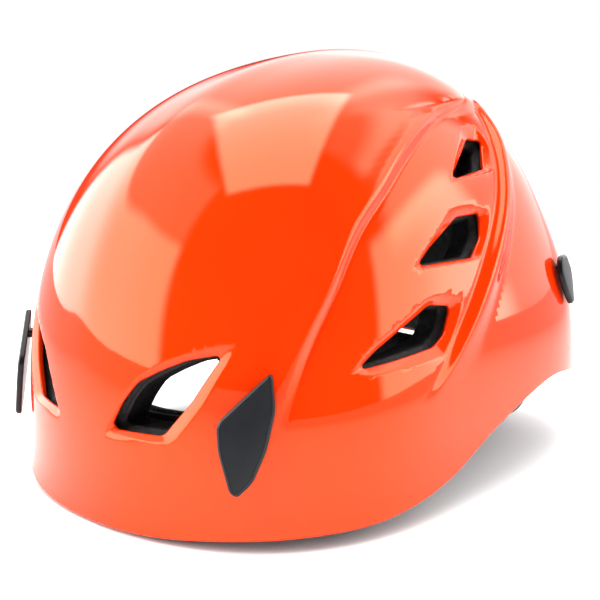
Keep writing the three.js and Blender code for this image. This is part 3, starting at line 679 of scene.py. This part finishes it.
def glossy_shell():
    """Glossy moulded orange plastic, with faint smudges and fine handling scratches."""
    # The specular tint colours the shell's reflections warm yellow: painted warm light in its
    # reflections.
    m = Nodes("shell_gloss").set(IOR=1.5, Specular_Tint=(1.0, 0.95, 0.50, 1))
    m.colour(m.stretch(m.noise(9, 3), 0.35, 0.65), SHELL_DEEP, SHELL_LIGHT)
    smudge = m.stretch(m.noise(26, 5, 0.6), 0.45, 0.75)
    scratch = m.add("ShaderNodeMapping", Scale=(1, 14, 3), Rotation=(0.3, 0.5, 0.9))
    m.link(m.where, scratch.inputs["Vector"])
    lines = m.stretch(m.noise(90, 6, 0.7, scratch.outputs["Vector"]), 0.62, 0.8)
    m.rough(m.math("MAXIMUM", smudge, lines), 0.035, 0.085)
    m.bump(m.noise(420, 2), 0.00002, 0.25)
    m.bump(m.noise(14, 1), 0.0006, 0.12)
    return m.material


def bead_foam():
    """Black foam of pressed beads with fine pores, painted darker as shade, darkest in the valleys
    between.
    """
    m = Nodes("bead_foam")
    beads = m.cells(270)
    # Painted shade: the foam is coloured darker than its own black, and darkest in the valleys between
    # the beads.
    m.colour(m.stretch(beads, 0.0, 0.75), (0.009, 0.009, 0.010), (0.003, 0.003, 0.0035))
    m.rough(m.noise(600, 2), 0.55, 0.85)
    m.bump(m.math("MULTIPLY", beads, -1.0), 0.0007, 0.8)
    m.bump(m.noise(2200, 2), 0.0001, 0.5)
    return m.material


GRAIN_DEPTH = 0.00006


def grained(name, dark, light, grain, low, high, ior=1.5):
    """Moulded plastic with a fine spark-eroded grain, and roughness from low to high."""
    m = Nodes(name).set(IOR=ior)
    m.colour(m.stretch(m.noise(40, 4), 0.3, 0.7), dark, light)
    m.rough(m.noise(130, 4), low, high)
    m.bump(m.noise(grain, 3), GRAIN_DEPTH, 0.5)
    m.bump(m.cells(grain * 0.6), GRAIN_DEPTH * 0.6, 0.3)
    return m.material


def knit_fabric(name, dark, light, stitch=620):
    """Brushed knit: rows of small loops under a soft nap."""
    m = Nodes(name).set(Sheen_Weight=0.35, Sheen_Roughness=0.45)
    loops = m.cells(stitch)
    # Painted shade: the gaps between the loops are coloured darker than the loops.
    m.colour(m.stretch(loops, 0.1, 0.7), light, dark)
    m.rough(m.noise(200, 3), 0.8, 0.95)
    m.bump(m.math("MULTIPLY", loops, -1.0), 0.0004, 0.7)
    m.bump(m.noise(1800, 4), 0.00015, 0.5)
    return m.material


WEAVE_PITCH = 0.0011


def woven_webbing(name, dark, light):
    """Herringbone webbing: ribs along the strap, crossed by picks that step from rib to rib."""
    m = Nodes(name).set(Sheen_Weight=0.15, Sheen_Roughness=0.4)
    uv = m.add("ShaderNodeUVMap", uv_map="Weave")
    split = m.add("ShaderNodeSeparateXYZ")
    m.link(uv.outputs["UV"], split.inputs[0])
    across, along = split.outputs[0], split.outputs[1]
    turn = 2 * math.pi / WEAVE_PITCH
    rib = m.math("ABSOLUTE", m.math("SINE", m.math("MULTIPLY", across, turn / 2)))
    step = m.math("FLOOR", m.math("DIVIDE", across, WEAVE_PITCH))
    phase = m.math("ADD", m.math("MULTIPLY", along, turn * 0.8), m.math("MULTIPLY", step, 1.6))
    pick = m.math("ABSOLUTE", m.math("SINE", phase))
    weave = m.math("MULTIPLY", m.math("POWER", rib, 0.6), m.math("POWER", pick, 0.5))
    fuzz = m.noise(1500, 3)
    # Painted shade: the grooves between ribs and picks are coloured darker than their crests. The fuzz
    # adds a random tone.
    m.colour(m.math("MULTIPLY", weave, m.stretch(fuzz, 0.2, 0.8, 0.6, 1.0)), dark, light)
    m.rough(weave, 0.9, 0.6)
    m.bump(weave, 0.00035, 0.9)
    m.bump(fuzz, 0.0001, 0.4)
    return m.material


def plated_steel():
    m = Nodes("plated_steel").set(Metallic=1.0)
    m.colour(m.noise(300, 3), (0.42, 0.43, 0.45), (0.62, 0.62, 0.63))
    m.rough(m.noise(900, 4), 0.22, 0.42)
    m.bump(m.noise(1500, 2), 0.00004, 0.4)
    return m.material


SHELL_DEEP = (0.72, 0.026, 0.0005)
SHELL_LIGHT = (0.82, 0.032, 0.0008)
MATERIAL = {
    "shell": glossy_shell(),
    "liner_foam": bead_foam(),
    "clip": grained("clip_nylon", (0.003, 0.004, 0.006), (0.006, 0.007, 0.010),
                    grain=1400, low=0.26, high=0.36, ior=1.36),
    "band_plastic": grained("band_plastic", (0.012, 0.012, 0.013), (0.022, 0.022, 0.024),
                            grain=1100, low=0.4, high=0.6),
    "dial_plastic": grained("dial_plastic", (0.02, 0.021, 0.023), (0.034, 0.035, 0.038),
                            grain=1300, low=0.32, high=0.5),
    "pad_fabric": knit_fabric("pad_fabric", (0.008, 0.008, 0.009), (0.03, 0.03, 0.033)),
    "webbing": woven_webbing("webbing", (0.006, 0.006, 0.007), (0.028, 0.028, 0.031)),
    "steel": plated_steel(),
    "thread": knit_fabric("thread", (0.02, 0.02, 0.022), (0.07, 0.07, 0.075), stitch=900),
}


# ---- Shell and liner ----
def build_shell():
    wall = dome_wall(
        "helmet_shell", MESH_CELLS, shell_surface, shell_field, round_edge(1.0, 4), fine=creased,
    )
    return place(wall, "shell", MATERIAL["shell"], "shell", "outer_shell")


# Where the liner stops short for a strap anchor: (y, height of the notch's top).
NOTCHES = ((-49, 38), (57, 69))
NOTCH_HALF = 14


def liner_field(d):
    p = dome_point(d)
    value = np.minimum(rim_field(p, LINER_LIFT + LINER_EDGE_ROUND), vent_distances(p)[0] - 0.8)
    for y, top in NOTCHES:
        beside = np.abs(p[:, 1] - y) - NOTCH_HALF
        above = p[:, 2] - top
        value = np.minimum(value, np.maximum(beside, above))
    return value


def liner_outer(d):
    p, normal = dome_point(d), normals_of(dome_point, d)
    high = ridge_relief(p, normal) * 0.7 - vent_distances(p)[1] - LINER_OUT
    return p + normal * high[:, None]


def liner_inner(d):
    p = dome_point(d)
    channel = bump(np.abs(p[:, 0]) - CHANNEL_APART, CHANNEL_WIDTH)
    channel = channel * rise(p[:, 2], 90, 30) * fall(np.abs(p[:, 1]), 95, 40)
    return p - normals_of(dome_point, d) * (LINER_IN - CHANNEL_DEPTH * channel)[:, None]


def build_liner():
    wall = dome_wall(
        "foam_liner_beads", MESH_CELLS * 3 // 4, liner_outer, liner_field,
        round_edge(LINER_EDGE_ROUND, 3, 3), liner_inner,
    )
    return place(wall, "shell", MATERIAL["liner_foam"], "liner_foam", "foam_liner")


# ---- Headlamp clips ----
def wall_frame(y, z, offset=0.0):
    """The left wall at a place seen from the side: point, and outward, level and upward directions."""
    d = unit(np.array([[0.8, y / DOME["half_length"], (z - DOME["equator_z"]) / DOME["rise"]]]))
    for _ in range(25):
        u, v = tangents(d)
        miss = np.array([y, z]) - dome_point(d)[0, 1:]
        along_u, along_v = slopes(dome_point, d, 1e-4)
        step = np.linalg.solve(np.stack([along_u[0, 1:], along_v[0, 1:]], 1), miss)
        step = np.clip(step, -0.2, 0.2)
        d = unit(d + step[0] * u + step[1] * v)
    normal = normals_of(dome_point, d)[0]
    level = unit(np.array([-normal[1], normal[0], 0]))
    return dome_point(d)[0] + normal * offset, normal, level, np.cross(normal, level)


# Each blade: its centre on the shell as (y, z), its lean in degrees, its stud and outline as
# (across, up) about the centre, and its back's height over the shell.
CLIPS = {
    "clip_front": dict(
        at=(-110, 52), lean=3, stud=(3.5, 15), standoff=2.6,
        outline=(
            (11, 26.5), (-12, 4.6), (-11.4, -6.8), (-6.6, -24), (-3.4, -25.6), (3, -19.4), (8.6, -6),
            (12.2, 10),
        ),
    ),
    "clip_rear": dict(
        at=(95, 87), lean=3, stud=(-1, 7), standoff=0.4,
        outline=(
            (-7, 13.5), (4, 13.5), (10.5, 5), (8, -3), (2, -12), (-2, -12), (-9, -3), (-10.5, 6),
        ),
    ),
}
STUD_RADIUS = 2.5
STUD_DEPTH = 6.0
BLADE_THICK = 3.0
BLADE_CROWN = 0.3
BLADE_CORNER = 3.2


def inset(outline, by):
    """An outline moved inwards."""
    along = unit(np.roll(outline, -1, axis=0) - np.roll(outline, 1, axis=0))
    way = np.stack([-along[:, 1], along[:, 0]], axis=1)
    area = np.sum(outline[:, 0] * np.roll(outline[:, 1], -1) - outline[:, 1] * np.roll(outline[:, 0], -1))
    return outline + way * by * np.sign(area)


def stacked_rings(rings):
    """Points and faces of a closed solid made of rings of equal length, with a fan at each end."""
    numbers = np.arange(len(rings) * len(rings[0])).reshape(len(rings), -1)
    first, last = numbers.size, numbers.size + 1
    faces = [(first, b, a) for a, b in zip(numbers[0], np.roll(numbers[0], -1))]
    faces += [(last, a, b) for a, b in zip(numbers[-1], np.roll(numbers[-1], -1))]
    for a, b in zip(numbers, numbers[1:]):
        faces += ring_faces(a, b)
    return np.concatenate([*rings, rings[0].mean(0)[None], rings[-1].mean(0)[None]]), faces


# A blade's edge from back to front: (how far in, how far out). Its front has a chamfer and, inside
# that, a fine groove.
BLADE_EDGE = (
    (1.6, 0.0), (0.7, 0.0), (0.15, 0.3), (0.0, 0.8), (0.0, 2.0), (0.12, 2.3), (0.95, 2.95), (1.15, 3.0),
    (1.3, 2.86), (1.5, 2.86), (1.65, 3.0),
)


def build_clip(kind, side, sign):
    clip = CLIPS[kind]
    point, normal, level, up = wall_frame(*clip["at"])
    lean = math.tan(clip["lean"] * RAD)
    outline = rounded(clip["outline"], BLADE_CORNER, 6)

    def put(flat, out):
        tipped = out + np.maximum(0, clip["stud"][1] - flat[:, 1]) * lean
        return point + flat[:, :1] * level + flat[:, 1:] * up + tipped[:, None] * normal

    flat = [(inset(outline, by), out) for by, out in BLADE_EDGE]
    middle = outline.mean(0)
    back, front = flat[0][0] - middle, flat[-1][0] - middle
    flat = [(middle + back * k, 0.0) for k in (0.05, 0.4, 0.75)] + flat
    for k in (0.85, 0.7, 0.55, 0.4, 0.25, 0.1):
        flat.append((middle + front * k, BLADE_THICK + BLADE_CROWN * (1 - k * k)))
    blade = [put(ring, clip["standoff"] + out) for ring, out in flat]
    turns = np.linspace(0, 2 * math.pi, 25)[:-1]
    circle = np.stack([np.cos(turns), np.sin(turns)], axis=1)
    stud = (
        (1.0, -STUD_DEPTH), (STUD_RADIUS - 0.5, -STUD_DEPTH), (STUD_RADIUS, 0.6 - STUD_DEPTH),
        (STUD_RADIUS, clip["standoff"] + 0.9), (1.0, clip["standoff"] + 1.0),
    )
    post = []
    for radius, height in stud:
        ring = np.array(clip["stud"]) + circle * radius
        post.append(point + ring[:, :1] * level + ring[:, 1:] * up + height * normal)
    points, faces = stacked_rings(blade)
    more, more_faces = stacked_rings(post)
    faces = faces + [tuple(i + len(points) for i in f) for f in more_faces]
    points, faces = for_side(np.concatenate([points, more]), faces, sign)
    name = f"{kind}_{side}"
    piece = make_mesh(f"{name}_blade", points, faces, sharp=38)
    return place(piece, "shell", MATERIAL["clip"], "clip", name)


# ---- Webbing ----
WEB_WIDTH = 15.0
WEB_THICK = 1.6


def spline_point(points, t):
    """A point of the smooth route through a few places, t from 0 to 1."""
    last = len(points) - 1
    i = min(int(last * t), last - 1)
    w = last * t - i
    b, c = points[i], points[i + 1]
    a = points[i - 1] if i > 0 else 2 * b - c
    d = points[i + 2] if i + 2 <= last else 2 * c - b
    ab, bc, cd = (max(np.linalg.norm(q - p) ** 0.5, 1e-4) for p, q in ((a, b), (b, c), (c, d)))
    leave = ((b - a) / ab - (c - a) / (ab + bc) + (c - b) / bc) * bc
    arrive = ((c - b) / bc - (d - b) / (bc + cd) + (d - c) / cd) * bc
    second = 3 * (c - b) - 2 * leave - arrive
    third = 2 * (b - c) + leave + arrive
    return b + leave * w + second * w**2 + third * w**3


# Half a strap's cross-section: shares of its half width and half thickness, with rolled edges.
SECTION = (
    (-1, 0), (-0.985, 0.55), (-0.94, 0.92), (-0.87, 1), (-0.5, 0.96), (0, 0.98), (0.5, 0.96),
    (0.87, 1), (0.94, 0.92), (0.985, 0.55), (1, 0),
)


def strap_frames(stations, steps, start=0.0, end=1.0):
    """Places along a strap: point, direction across it, and direction out of its face."""
    route = [np.array(p, float) for p, _ in stations]
    lean = [np.array(w, float) for _, w in stations]
    found = []
    for k in range(steps + 1):
        t = start + (end - start) * k / steps
        here = spline_point(route, t)
        ahead = spline_point(route, min(t + 1e-4, 1)) - spline_point(route, max(t - 1e-4, 0))
        ahead = unit(ahead)
        across = spline_point(lean, t)
        across = unit(across - (across @ ahead) * ahead)
        found.append((here, across, np.cross(ahead, across)))
    return found


def strap_mesh(name, frames, sign=1, offset=0.0):
    """A strip of webbing along some frames, closed at its ends, with its weave laid out in metres."""
    section = list(SECTION) + [(x, -y) for x, y in SECTION[-2:0:-1]]
    points, uv, travelled = [], [], 0.0
    for k, (here, across, face) in enumerate(frames):
        if k:
            travelled += np.linalg.norm(here - frames[k - 1][0])
        for x, y in section:
            points.append(here + across * x * WEB_WIDTH / 2 + face * (y * WEB_THICK / 2 + offset))
            apart = 2 * WEB_WIDTH if y < 0 else 0
            uv.append(((x * WEB_WIDTH / 2 + apart) * MM, travelled * MM))
    rings = np.arange(len(points)).reshape(len(frames), -1)
    faces = [tuple(rings[0][::-1]), tuple(rings[-1])]
    for a, b in zip(rings, rings[1:]):
        faces += ring_faces(a, b)
    points, faces = for_side(np.array(points), faces, sign)
    return make_mesh(name, points, faces, uv=uv, sharp=60)


# The anchors on the shell as (y, z), how far a strap hangs inside the wall, and its ends above and
# below the anchor.
ANCHORS = {"front": (-49, 25), "rear": (57, 56)}
STRAP_INSET = 5.8
STRAP_ABOVE = 7
STRAP_BELOW = 9
# Routes below the anchors, and that of the chin strap: (place, direction across the webbing).
STRAP_REST = {
    "front": (
        ((98.5, -47, 6), (0.1, 1, 0)), ((92, -42, 2), (0.4, 0.9, 0)), ((80, -28, 1.5), (0.72, 0.7, 0)),
        ((64.5, -9, 1.9), (0.76, 0.65, 0)),
    ),
    "rear": (
        ((99, 56, 40), (-0.1, 1, 0)), ((96, 53, 29), (-0.2, 1, 0)), ((90, 47, 21.5), (-0.5, 0.86, 0)),
        ((83, 40.5, 13), (-0.65, 0.75, 0)), ((75.5, 33, 4.5), (-0.7, 0.71, 0)),
        ((66.4, 24, 1.9), (-0.7, 0.7, 0)),
    ),
}
BUCKLE_Y, BUCKLE_Z, BUCKLE_END = -76.0, 13.6, 26.5
CHIN = (
    ((34.5, 8, 2), (0, 1, 0)), ((29.5, 7, 5), (0.1, 0.95, 0.25)), ((24.5, 1, 9.8), (0.25, 0.3, 0.9)),
    ((24.5, -12, 10.2), (0, 0, 1)), ((30, -28, 10), (0, 0, 1)), ((37, -44, 10.2), (0, 0, 1)),
    ((40, -60, 11.6), (0, 0, 1)), ((35.5, -73, 13.2), (0, 0, 1)),
    ((BUCKLE_END, BUCKLE_Y, BUCKLE_Z), (0, 0, 1)),
)
# The free tail lies on the chin strap, over this stretch of its route and this far above it.
TAIL_STRETCH = (0.52, 0.97)
TAIL_ABOVE = 2.2


def strap_stations(end):
    point, _, level, up = wall_frame(*ANCHORS[end], -SHELL_THICK - STRAP_INSET)
    return [(point + up * STRAP_ABOVE, level), (point - up * STRAP_BELOW, level), *STRAP_REST[end]]


def build_harness():
    for end in ("front", "rear"):
        frames = strap_frames(strap_stations(end), 60)
        for side, sign in SIDES:
            strap = strap_mesh(f"webbing_{end}_{side}", frames, sign)
            place(strap, "shell", MATERIAL["webbing"], "webbing", f"strap_{end}_{side}")
            stitches(f"stitches_{end}_{side}", frames[3:9], sign)
    frames = strap_frames(CHIN, 80)
    left = strap_mesh("chin_webbing_left", frames)
    place(left, "shell", MATERIAL["webbing"], "webbing", "chin_strap_left")
    right = strap_mesh("chin_webbing_right", frames, sign=-1)
    right.data.materials.append(MATERIAL["webbing"])
    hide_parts("chin_strap_right")
    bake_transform(right)
    tail = strap_mesh("webbing_tail", strap_frames(CHIN, 50, *TAIL_STRETCH), offset=TAIL_ABOVE)
    place(tail, "shell", MATERIAL["webbing"], "webbing", "strap_tail")


# The rows of stitches, and how far each swings from side to side, as shares of the sewn length.
STITCH_ROWS = (0.15, 0.7)
STITCH_SWING = 0.14
STITCHES_PER_ROW = 13
THREAD_HALF = 0.28
THREAD_HIGH = 0.22


def stitches(name, frames, sign):
    """Two rows of zigzag thread across a strap's sewn end."""
    points, faces = [], []
    (start, across, face), (end, _, _) = frames[0], frames[-1]
    along = end - start

    def needle(row, turn, count):
        """Where thread goes down: on alternate sides of its row, and count stitches across."""
        share = count / (STITCHES_PER_ROW - 1) - 0.5
        return start + along * (row + STITCH_SWING * (turn % 2)) + across * share * (WEB_WIDTH - 3)

    for row in STITCH_ROWS:
        for k in range(STITCHES_PER_ROW):
            a, b = needle(row, k, k), needle(row, k + 1, k + 0.9)
            beside = np.cross(unit(b - a), face) * THREAD_HALF
            base = len(points)
            for at, lift in ((a, 0.55), ((a + b) / 2, 1.05), (b, 0.55)):
                for off in (-beside, beside):
                    points.append(at + off + face * lift)
                points.append(at + face * (lift + THREAD_HIGH))
            for j in (0, 3):
                for p, q in ((0, 2), (2, 1), (1, 0)):
                    faces.append((base + j + p, base + j + q, base + j + 3 + q, base + j + 3 + p))
            faces.append((base, base + 1, base + 2))
            faces.append((base + 8, base + 7, base + 6))
    points, faces = for_side(np.array(points), faces, sign)
    return place(make_mesh(name, points, faces), "shell", MATERIAL["thread"], "webbing")


# ---- Soft pads ----
PAD_VOXEL = 1.6
PAD_PRESSURE = 4
CLOTH_STEPS = 12


def places_of(mesh):
    """A mesh's points, as an (n, 3) array."""
    flat = np.empty(len(mesh.vertices) * 3)
    mesh.vertices.foreach_get("co", flat)
    return flat.reshape(-1, 3)


def build_pad(node, name, body, swell):
    """A pad swollen from its CAD solid by cloth simulation, no point moving more than swell mm."""
    source = nodes[node]
    pad = source.copy()
    pad.data = source.data.copy()
    pad.name = pad.data.name = name
    pad.parent = None
    pad.matrix_world = source.matrix_world
    bpy.context.scene.collection.objects.link(pad)
    for other in bpy.context.selected_objects:
        other.select_set(False)
    bpy.context.view_layer.objects.active = pad
    pad.select_set(True)
    remesh = pad.modifiers.new("remesh", "REMESH")
    remesh.mode, remesh.voxel_size = "VOXEL", PAD_VOXEL * MM
    bpy.ops.object.modifier_apply(modifier=remesh.name)
    start = places_of(pad.data)
    cloth = pad.modifiers.new("cloth", "CLOTH")
    cloth.settings.use_pressure = True
    cloth.settings.uniform_pressure_force = PAD_PRESSURE
    cloth.settings.effector_weights.gravity = 0
    cloth.settings.quality = 5
    cloth.point_cache.frame_start, cloth.point_cache.frame_end = 1, CLOTH_STEPS
    for frame_number in range(1, CLOTH_STEPS + 1):
        bpy.context.scene.frame_set(frame_number)
    bpy.context.view_layer.update()
    shaped = pad.evaluated_get(bpy.context.evaluated_depsgraph_get())
    moved = places_of(shaped.data) - start
    pad.modifiers.remove(cloth)
    length = np.linalg.norm(moved, axis=1, keepdims=True)
    moved = moved * np.minimum(1, swell * MM / np.maximum(length, 1e-9))
    pad.data.vertices.foreach_set("co", (start + moved).ravel())
    bpy.context.scene.frame_set(1)
    smoother = pad.modifiers.new("smooth", "SMOOTH")
    smoother.factor, smoother.iterations = 0.5, 6
    bpy.ops.object.modifier_apply(modifier=smoother.name)
    finer = pad.modifiers.new("finer", "SUBSURF")
    finer.levels, finer.render_levels = 1, 1
    pad.data.polygons.foreach_set("use_smooth", [True] * len(pad.data.polygons))
    place(pad, body, MATERIAL["pad_fabric"], "pad_fabric", node)
    return pad


# ---- Stage: floor, lights and camera ----
# Where the camera stands round its aim, in degrees: azimuth 0 is in front, at -Y, and 90 is at +X.
CAMERA_AZIMUTH, CAMERA_ELEVATION, CAMERA_ROLL = 45.016, 12.227, -0.546
CAMERA_DISTANCE = 615.2
CAMERA_AIM = (0, 0, 78.4)
LENS, SENSOR = 71.975, 36.0


def build_camera():
    a, e, roll = CAMERA_AZIMUTH * RAD, CAMERA_ELEVATION * RAD, CAMERA_ROLL * RAD
    back = Vector((math.sin(a) * math.cos(e), -math.cos(a) * math.cos(e), math.sin(e)))
    right = Vector((math.cos(a), math.sin(a), 0))
    turned = right * math.cos(roll) + back.cross(right) * math.sin(roll)
    data = bpy.data.cameras.new("camera")
    data.lens, data.sensor_width = LENS, SENSOR
    data.clip_start, data.clip_end = 0.02, 60
    camera = bpy.data.objects.new("camera", data)
    bpy.context.scene.collection.objects.link(camera)
    place_at = (Vector(CAMERA_AIM) + back * CAMERA_DISTANCE) * MM
    basis = Matrix((turned, back.cross(turned), back)).transposed().to_4x4()
    camera.matrix_world = Matrix.Translation(place_at) @ basis
    bpy.context.scene.camera = camera


# The studio's soft light as patches of sky: (azimuth, elevation, half width, half height, soft edge,
# radiance), all but the radiance in degrees, and azimuth as the camera's.
SKY_PATCHES = (
    (-55, 17, 43, 19, 3, 5.6),
    (-62, 49, 50, 13, 4, 1.7),
    (-136, 38, 33, 26, 6, 2.0),
    (132, 13, 19, 15, 3, 4.6),
    (150, 38, 25, 17, 6, 3.0),
    (-172, 50, 14, 12, 6, 1.6),
    (158, 60, 34, 14, 8, 0.9),
    (180, 8, 40, 12, 8, 2.2),
)
# The overhead softbox, a rectangle on a level plane one unit up: (middle, half size) towards the
# helmet's front left and across that, its soft edge and its radiance.
SOFTBOX_TOWARDS = (-0.12, 0.50)
SOFTBOX_ACROSS = (-0.045, 0.355)
SOFTBOX_SOFT = 0.035
SOFTBOX_RADIANCE = 5.8
# The sky between the patches, what diffuse rays find on top of all that, and what the camera sees.
SKY_DIM = 0.06
FILL = 0.9
BACKGROUND = 1.0


def build_sky():
    """Soft patches of light round the helmet. The camera sees an even pale backdrop instead."""
    world = bpy.data.worlds.new("studio")
    world.use_nodes = True
    tree = world.node_tree

    def calc(operation, *values):
        return math_node(tree, operation, *values)

    def inside(distance, half, soft):
        return range_node(tree, distance, (half + soft, half - soft, 0, 1), "SMOOTHSTEP")

    look = tree.nodes.new("ShaderNodeTexCoord")
    axes = tree.nodes.new("ShaderNodeSeparateXYZ")
    tree.links.new(look.outputs["Generated"], axes.inputs[0])
    x, y, z = axes.outputs
    height = calc("DEGREES", calc("ARCSINE", z))
    bearing = calc("DEGREES", calc("ARCTAN2", x, calc("MULTIPLY", y, -1.0)))
    light = SKY_DIM
    for azimuth, elevation, half_wide, half_high, soft, radiance in SKY_PATCHES:
        turn = calc("ABSOLUTE", calc("WRAP", calc("SUBTRACT", bearing, azimuth), -180.0, 180.0))
        climb = calc("ABSOLUTE", calc("SUBTRACT", height, elevation))
        patch = calc("MULTIPLY", inside(turn, half_wide, soft), inside(climb, half_high, soft))
        light = calc("ADD", light, calc("MULTIPLY", patch, radiance))
    reach = calc("MAXIMUM", z, 0.05)
    box = SOFTBOX_RADIANCE
    for operation, (middle, half) in (("SUBTRACT", SOFTBOX_TOWARDS), ("ADD", SOFTBOX_ACROSS)):
        place_on_plane = calc("DIVIDE", calc("MULTIPLY", calc(operation, x, y), math.sqrt(0.5)), reach)
        off = calc("ABSOLUTE", calc("SUBTRACT", place_on_plane, middle))
        box = calc("MULTIPLY", inside(off, half, SOFTBOX_SOFT), box)
    light = calc("ADD", light, box)
    ray = tree.nodes.new("ShaderNodeLightPath")
    light = calc("ADD", light, calc("MULTIPLY", ray.outputs["Is Diffuse Ray"], FILL))
    unseen = calc("SUBTRACT", 1.0, ray.outputs["Is Camera Ray"])
    seen = calc("MULTIPLY", ray.outputs["Is Camera Ray"], BACKGROUND)
    strength = calc("ADD", calc("MULTIPLY", light, unseen), seen)
    background = tree.nodes["Background"]
    tree.links.new(strength, background.inputs["Strength"])
    background.inputs["Color"].default_value = (1, 1, 1, 1)
    bpy.context.scene.world = world


# The floor is a disc of rings. It fades into the background between two distances, in metres.
FLOOR_RINGS = (200, 400, 700, 1200, 2500, 6000, 14000)
FLOOR_FADE = (0.22, 0.75)


def build_floor():
    """A pale floor that fades into the pale background."""
    around = 64
    turns = [2 * math.pi * k / around for k in range(around)]
    points = [(0, 0, 0)]
    for r in FLOOR_RINGS:
        points += [(r * math.cos(a), r * math.sin(a), 0) for a in turns]
    rings = 1 + np.arange(len(FLOOR_RINGS) * around).reshape(-1, around)
    faces = [(0, a, b) for a, b in zip(rings[0], np.roll(rings[0], -1))]
    for a, b in zip(rings, rings[1:]):
        faces += ring_faces(b, a)
    floor = make_mesh("floor", points, faces)
    m = Nodes("floor_paper")
    m.colour(m.noise(3, 2), (0.82, 0.82, 0.82), (0.86, 0.86, 0.86))
    m.rough(m.noise(60, 2), 0.75, 0.9)
    far = m.add("ShaderNodeVectorMath", operation="LENGTH")
    m.link(m.where, far.inputs[0])
    glow = m.add("ShaderNodeEmission", Strength=BACKGROUND)
    mix = m.add("ShaderNodeMixShader")
    m.link(m.stretch(far.outputs["Value"], *FLOOR_FADE), mix.inputs["Fac"])
    m.link(m.shader.outputs[0], mix.inputs[1])
    m.link(glow.outputs[0], mix.inputs[2])
    m.link(mix.outputs[0], m.tree.nodes["Material Output"].inputs["Surface"])
    floor.data.materials.append(m.material)


# ---- The CAD nodes that stay ----
WELD_WITHIN = 0.02
EDGE_WIDTH = 0.4


def finish_cad_nodes():
    """Gives every CAD node its slot's material, rounded edges and smooth shading, by modifiers only."""
    slots = {s["node"]: s["material_slot"] for s in frame["record"]["subparts"]}
    for name, obj in nodes.items():
        if obj.hide_render:
            continue
        obj.data.materials.clear()
        obj.data.materials.append(MATERIAL[slots[name]])
        obj.data.polygons.foreach_set("use_smooth", [True] * len(obj.data.polygons))
        weld = obj.modifiers.new("weld", "WELD")
        weld.merge_threshold = WELD_WITHIN * MM
        edge = obj.modifiers.new("edges", "BEVEL")
        edge.width, edge.segments = EDGE_WIDTH * MM, 2
        edge.limit_method, edge.angle_limit = "ANGLE", 35 * RAD
        edge.harden_normals = True
        obj.modifiers.new("shading", "WEIGHTED_NORMAL").keep_sharp = False


build_shell()
build_liner()
for side, sign in SIDES:
    for kind in CLIPS:
        build_clip(kind, side, sign)
build_harness()
build_pad("crown_pad", "crown_cushion", "shell", swell=1.2)
build_pad("brow_pad", "brow_cushion", "shell", swell=0.9)
build_pad("nape_pad", "nape_cushion", "cradle", swell=0.9)
finish_cad_nodes()
build_sky()
build_floor()
build_camera()
bpy.context.scene.view_settings.view_transform = "Standard"
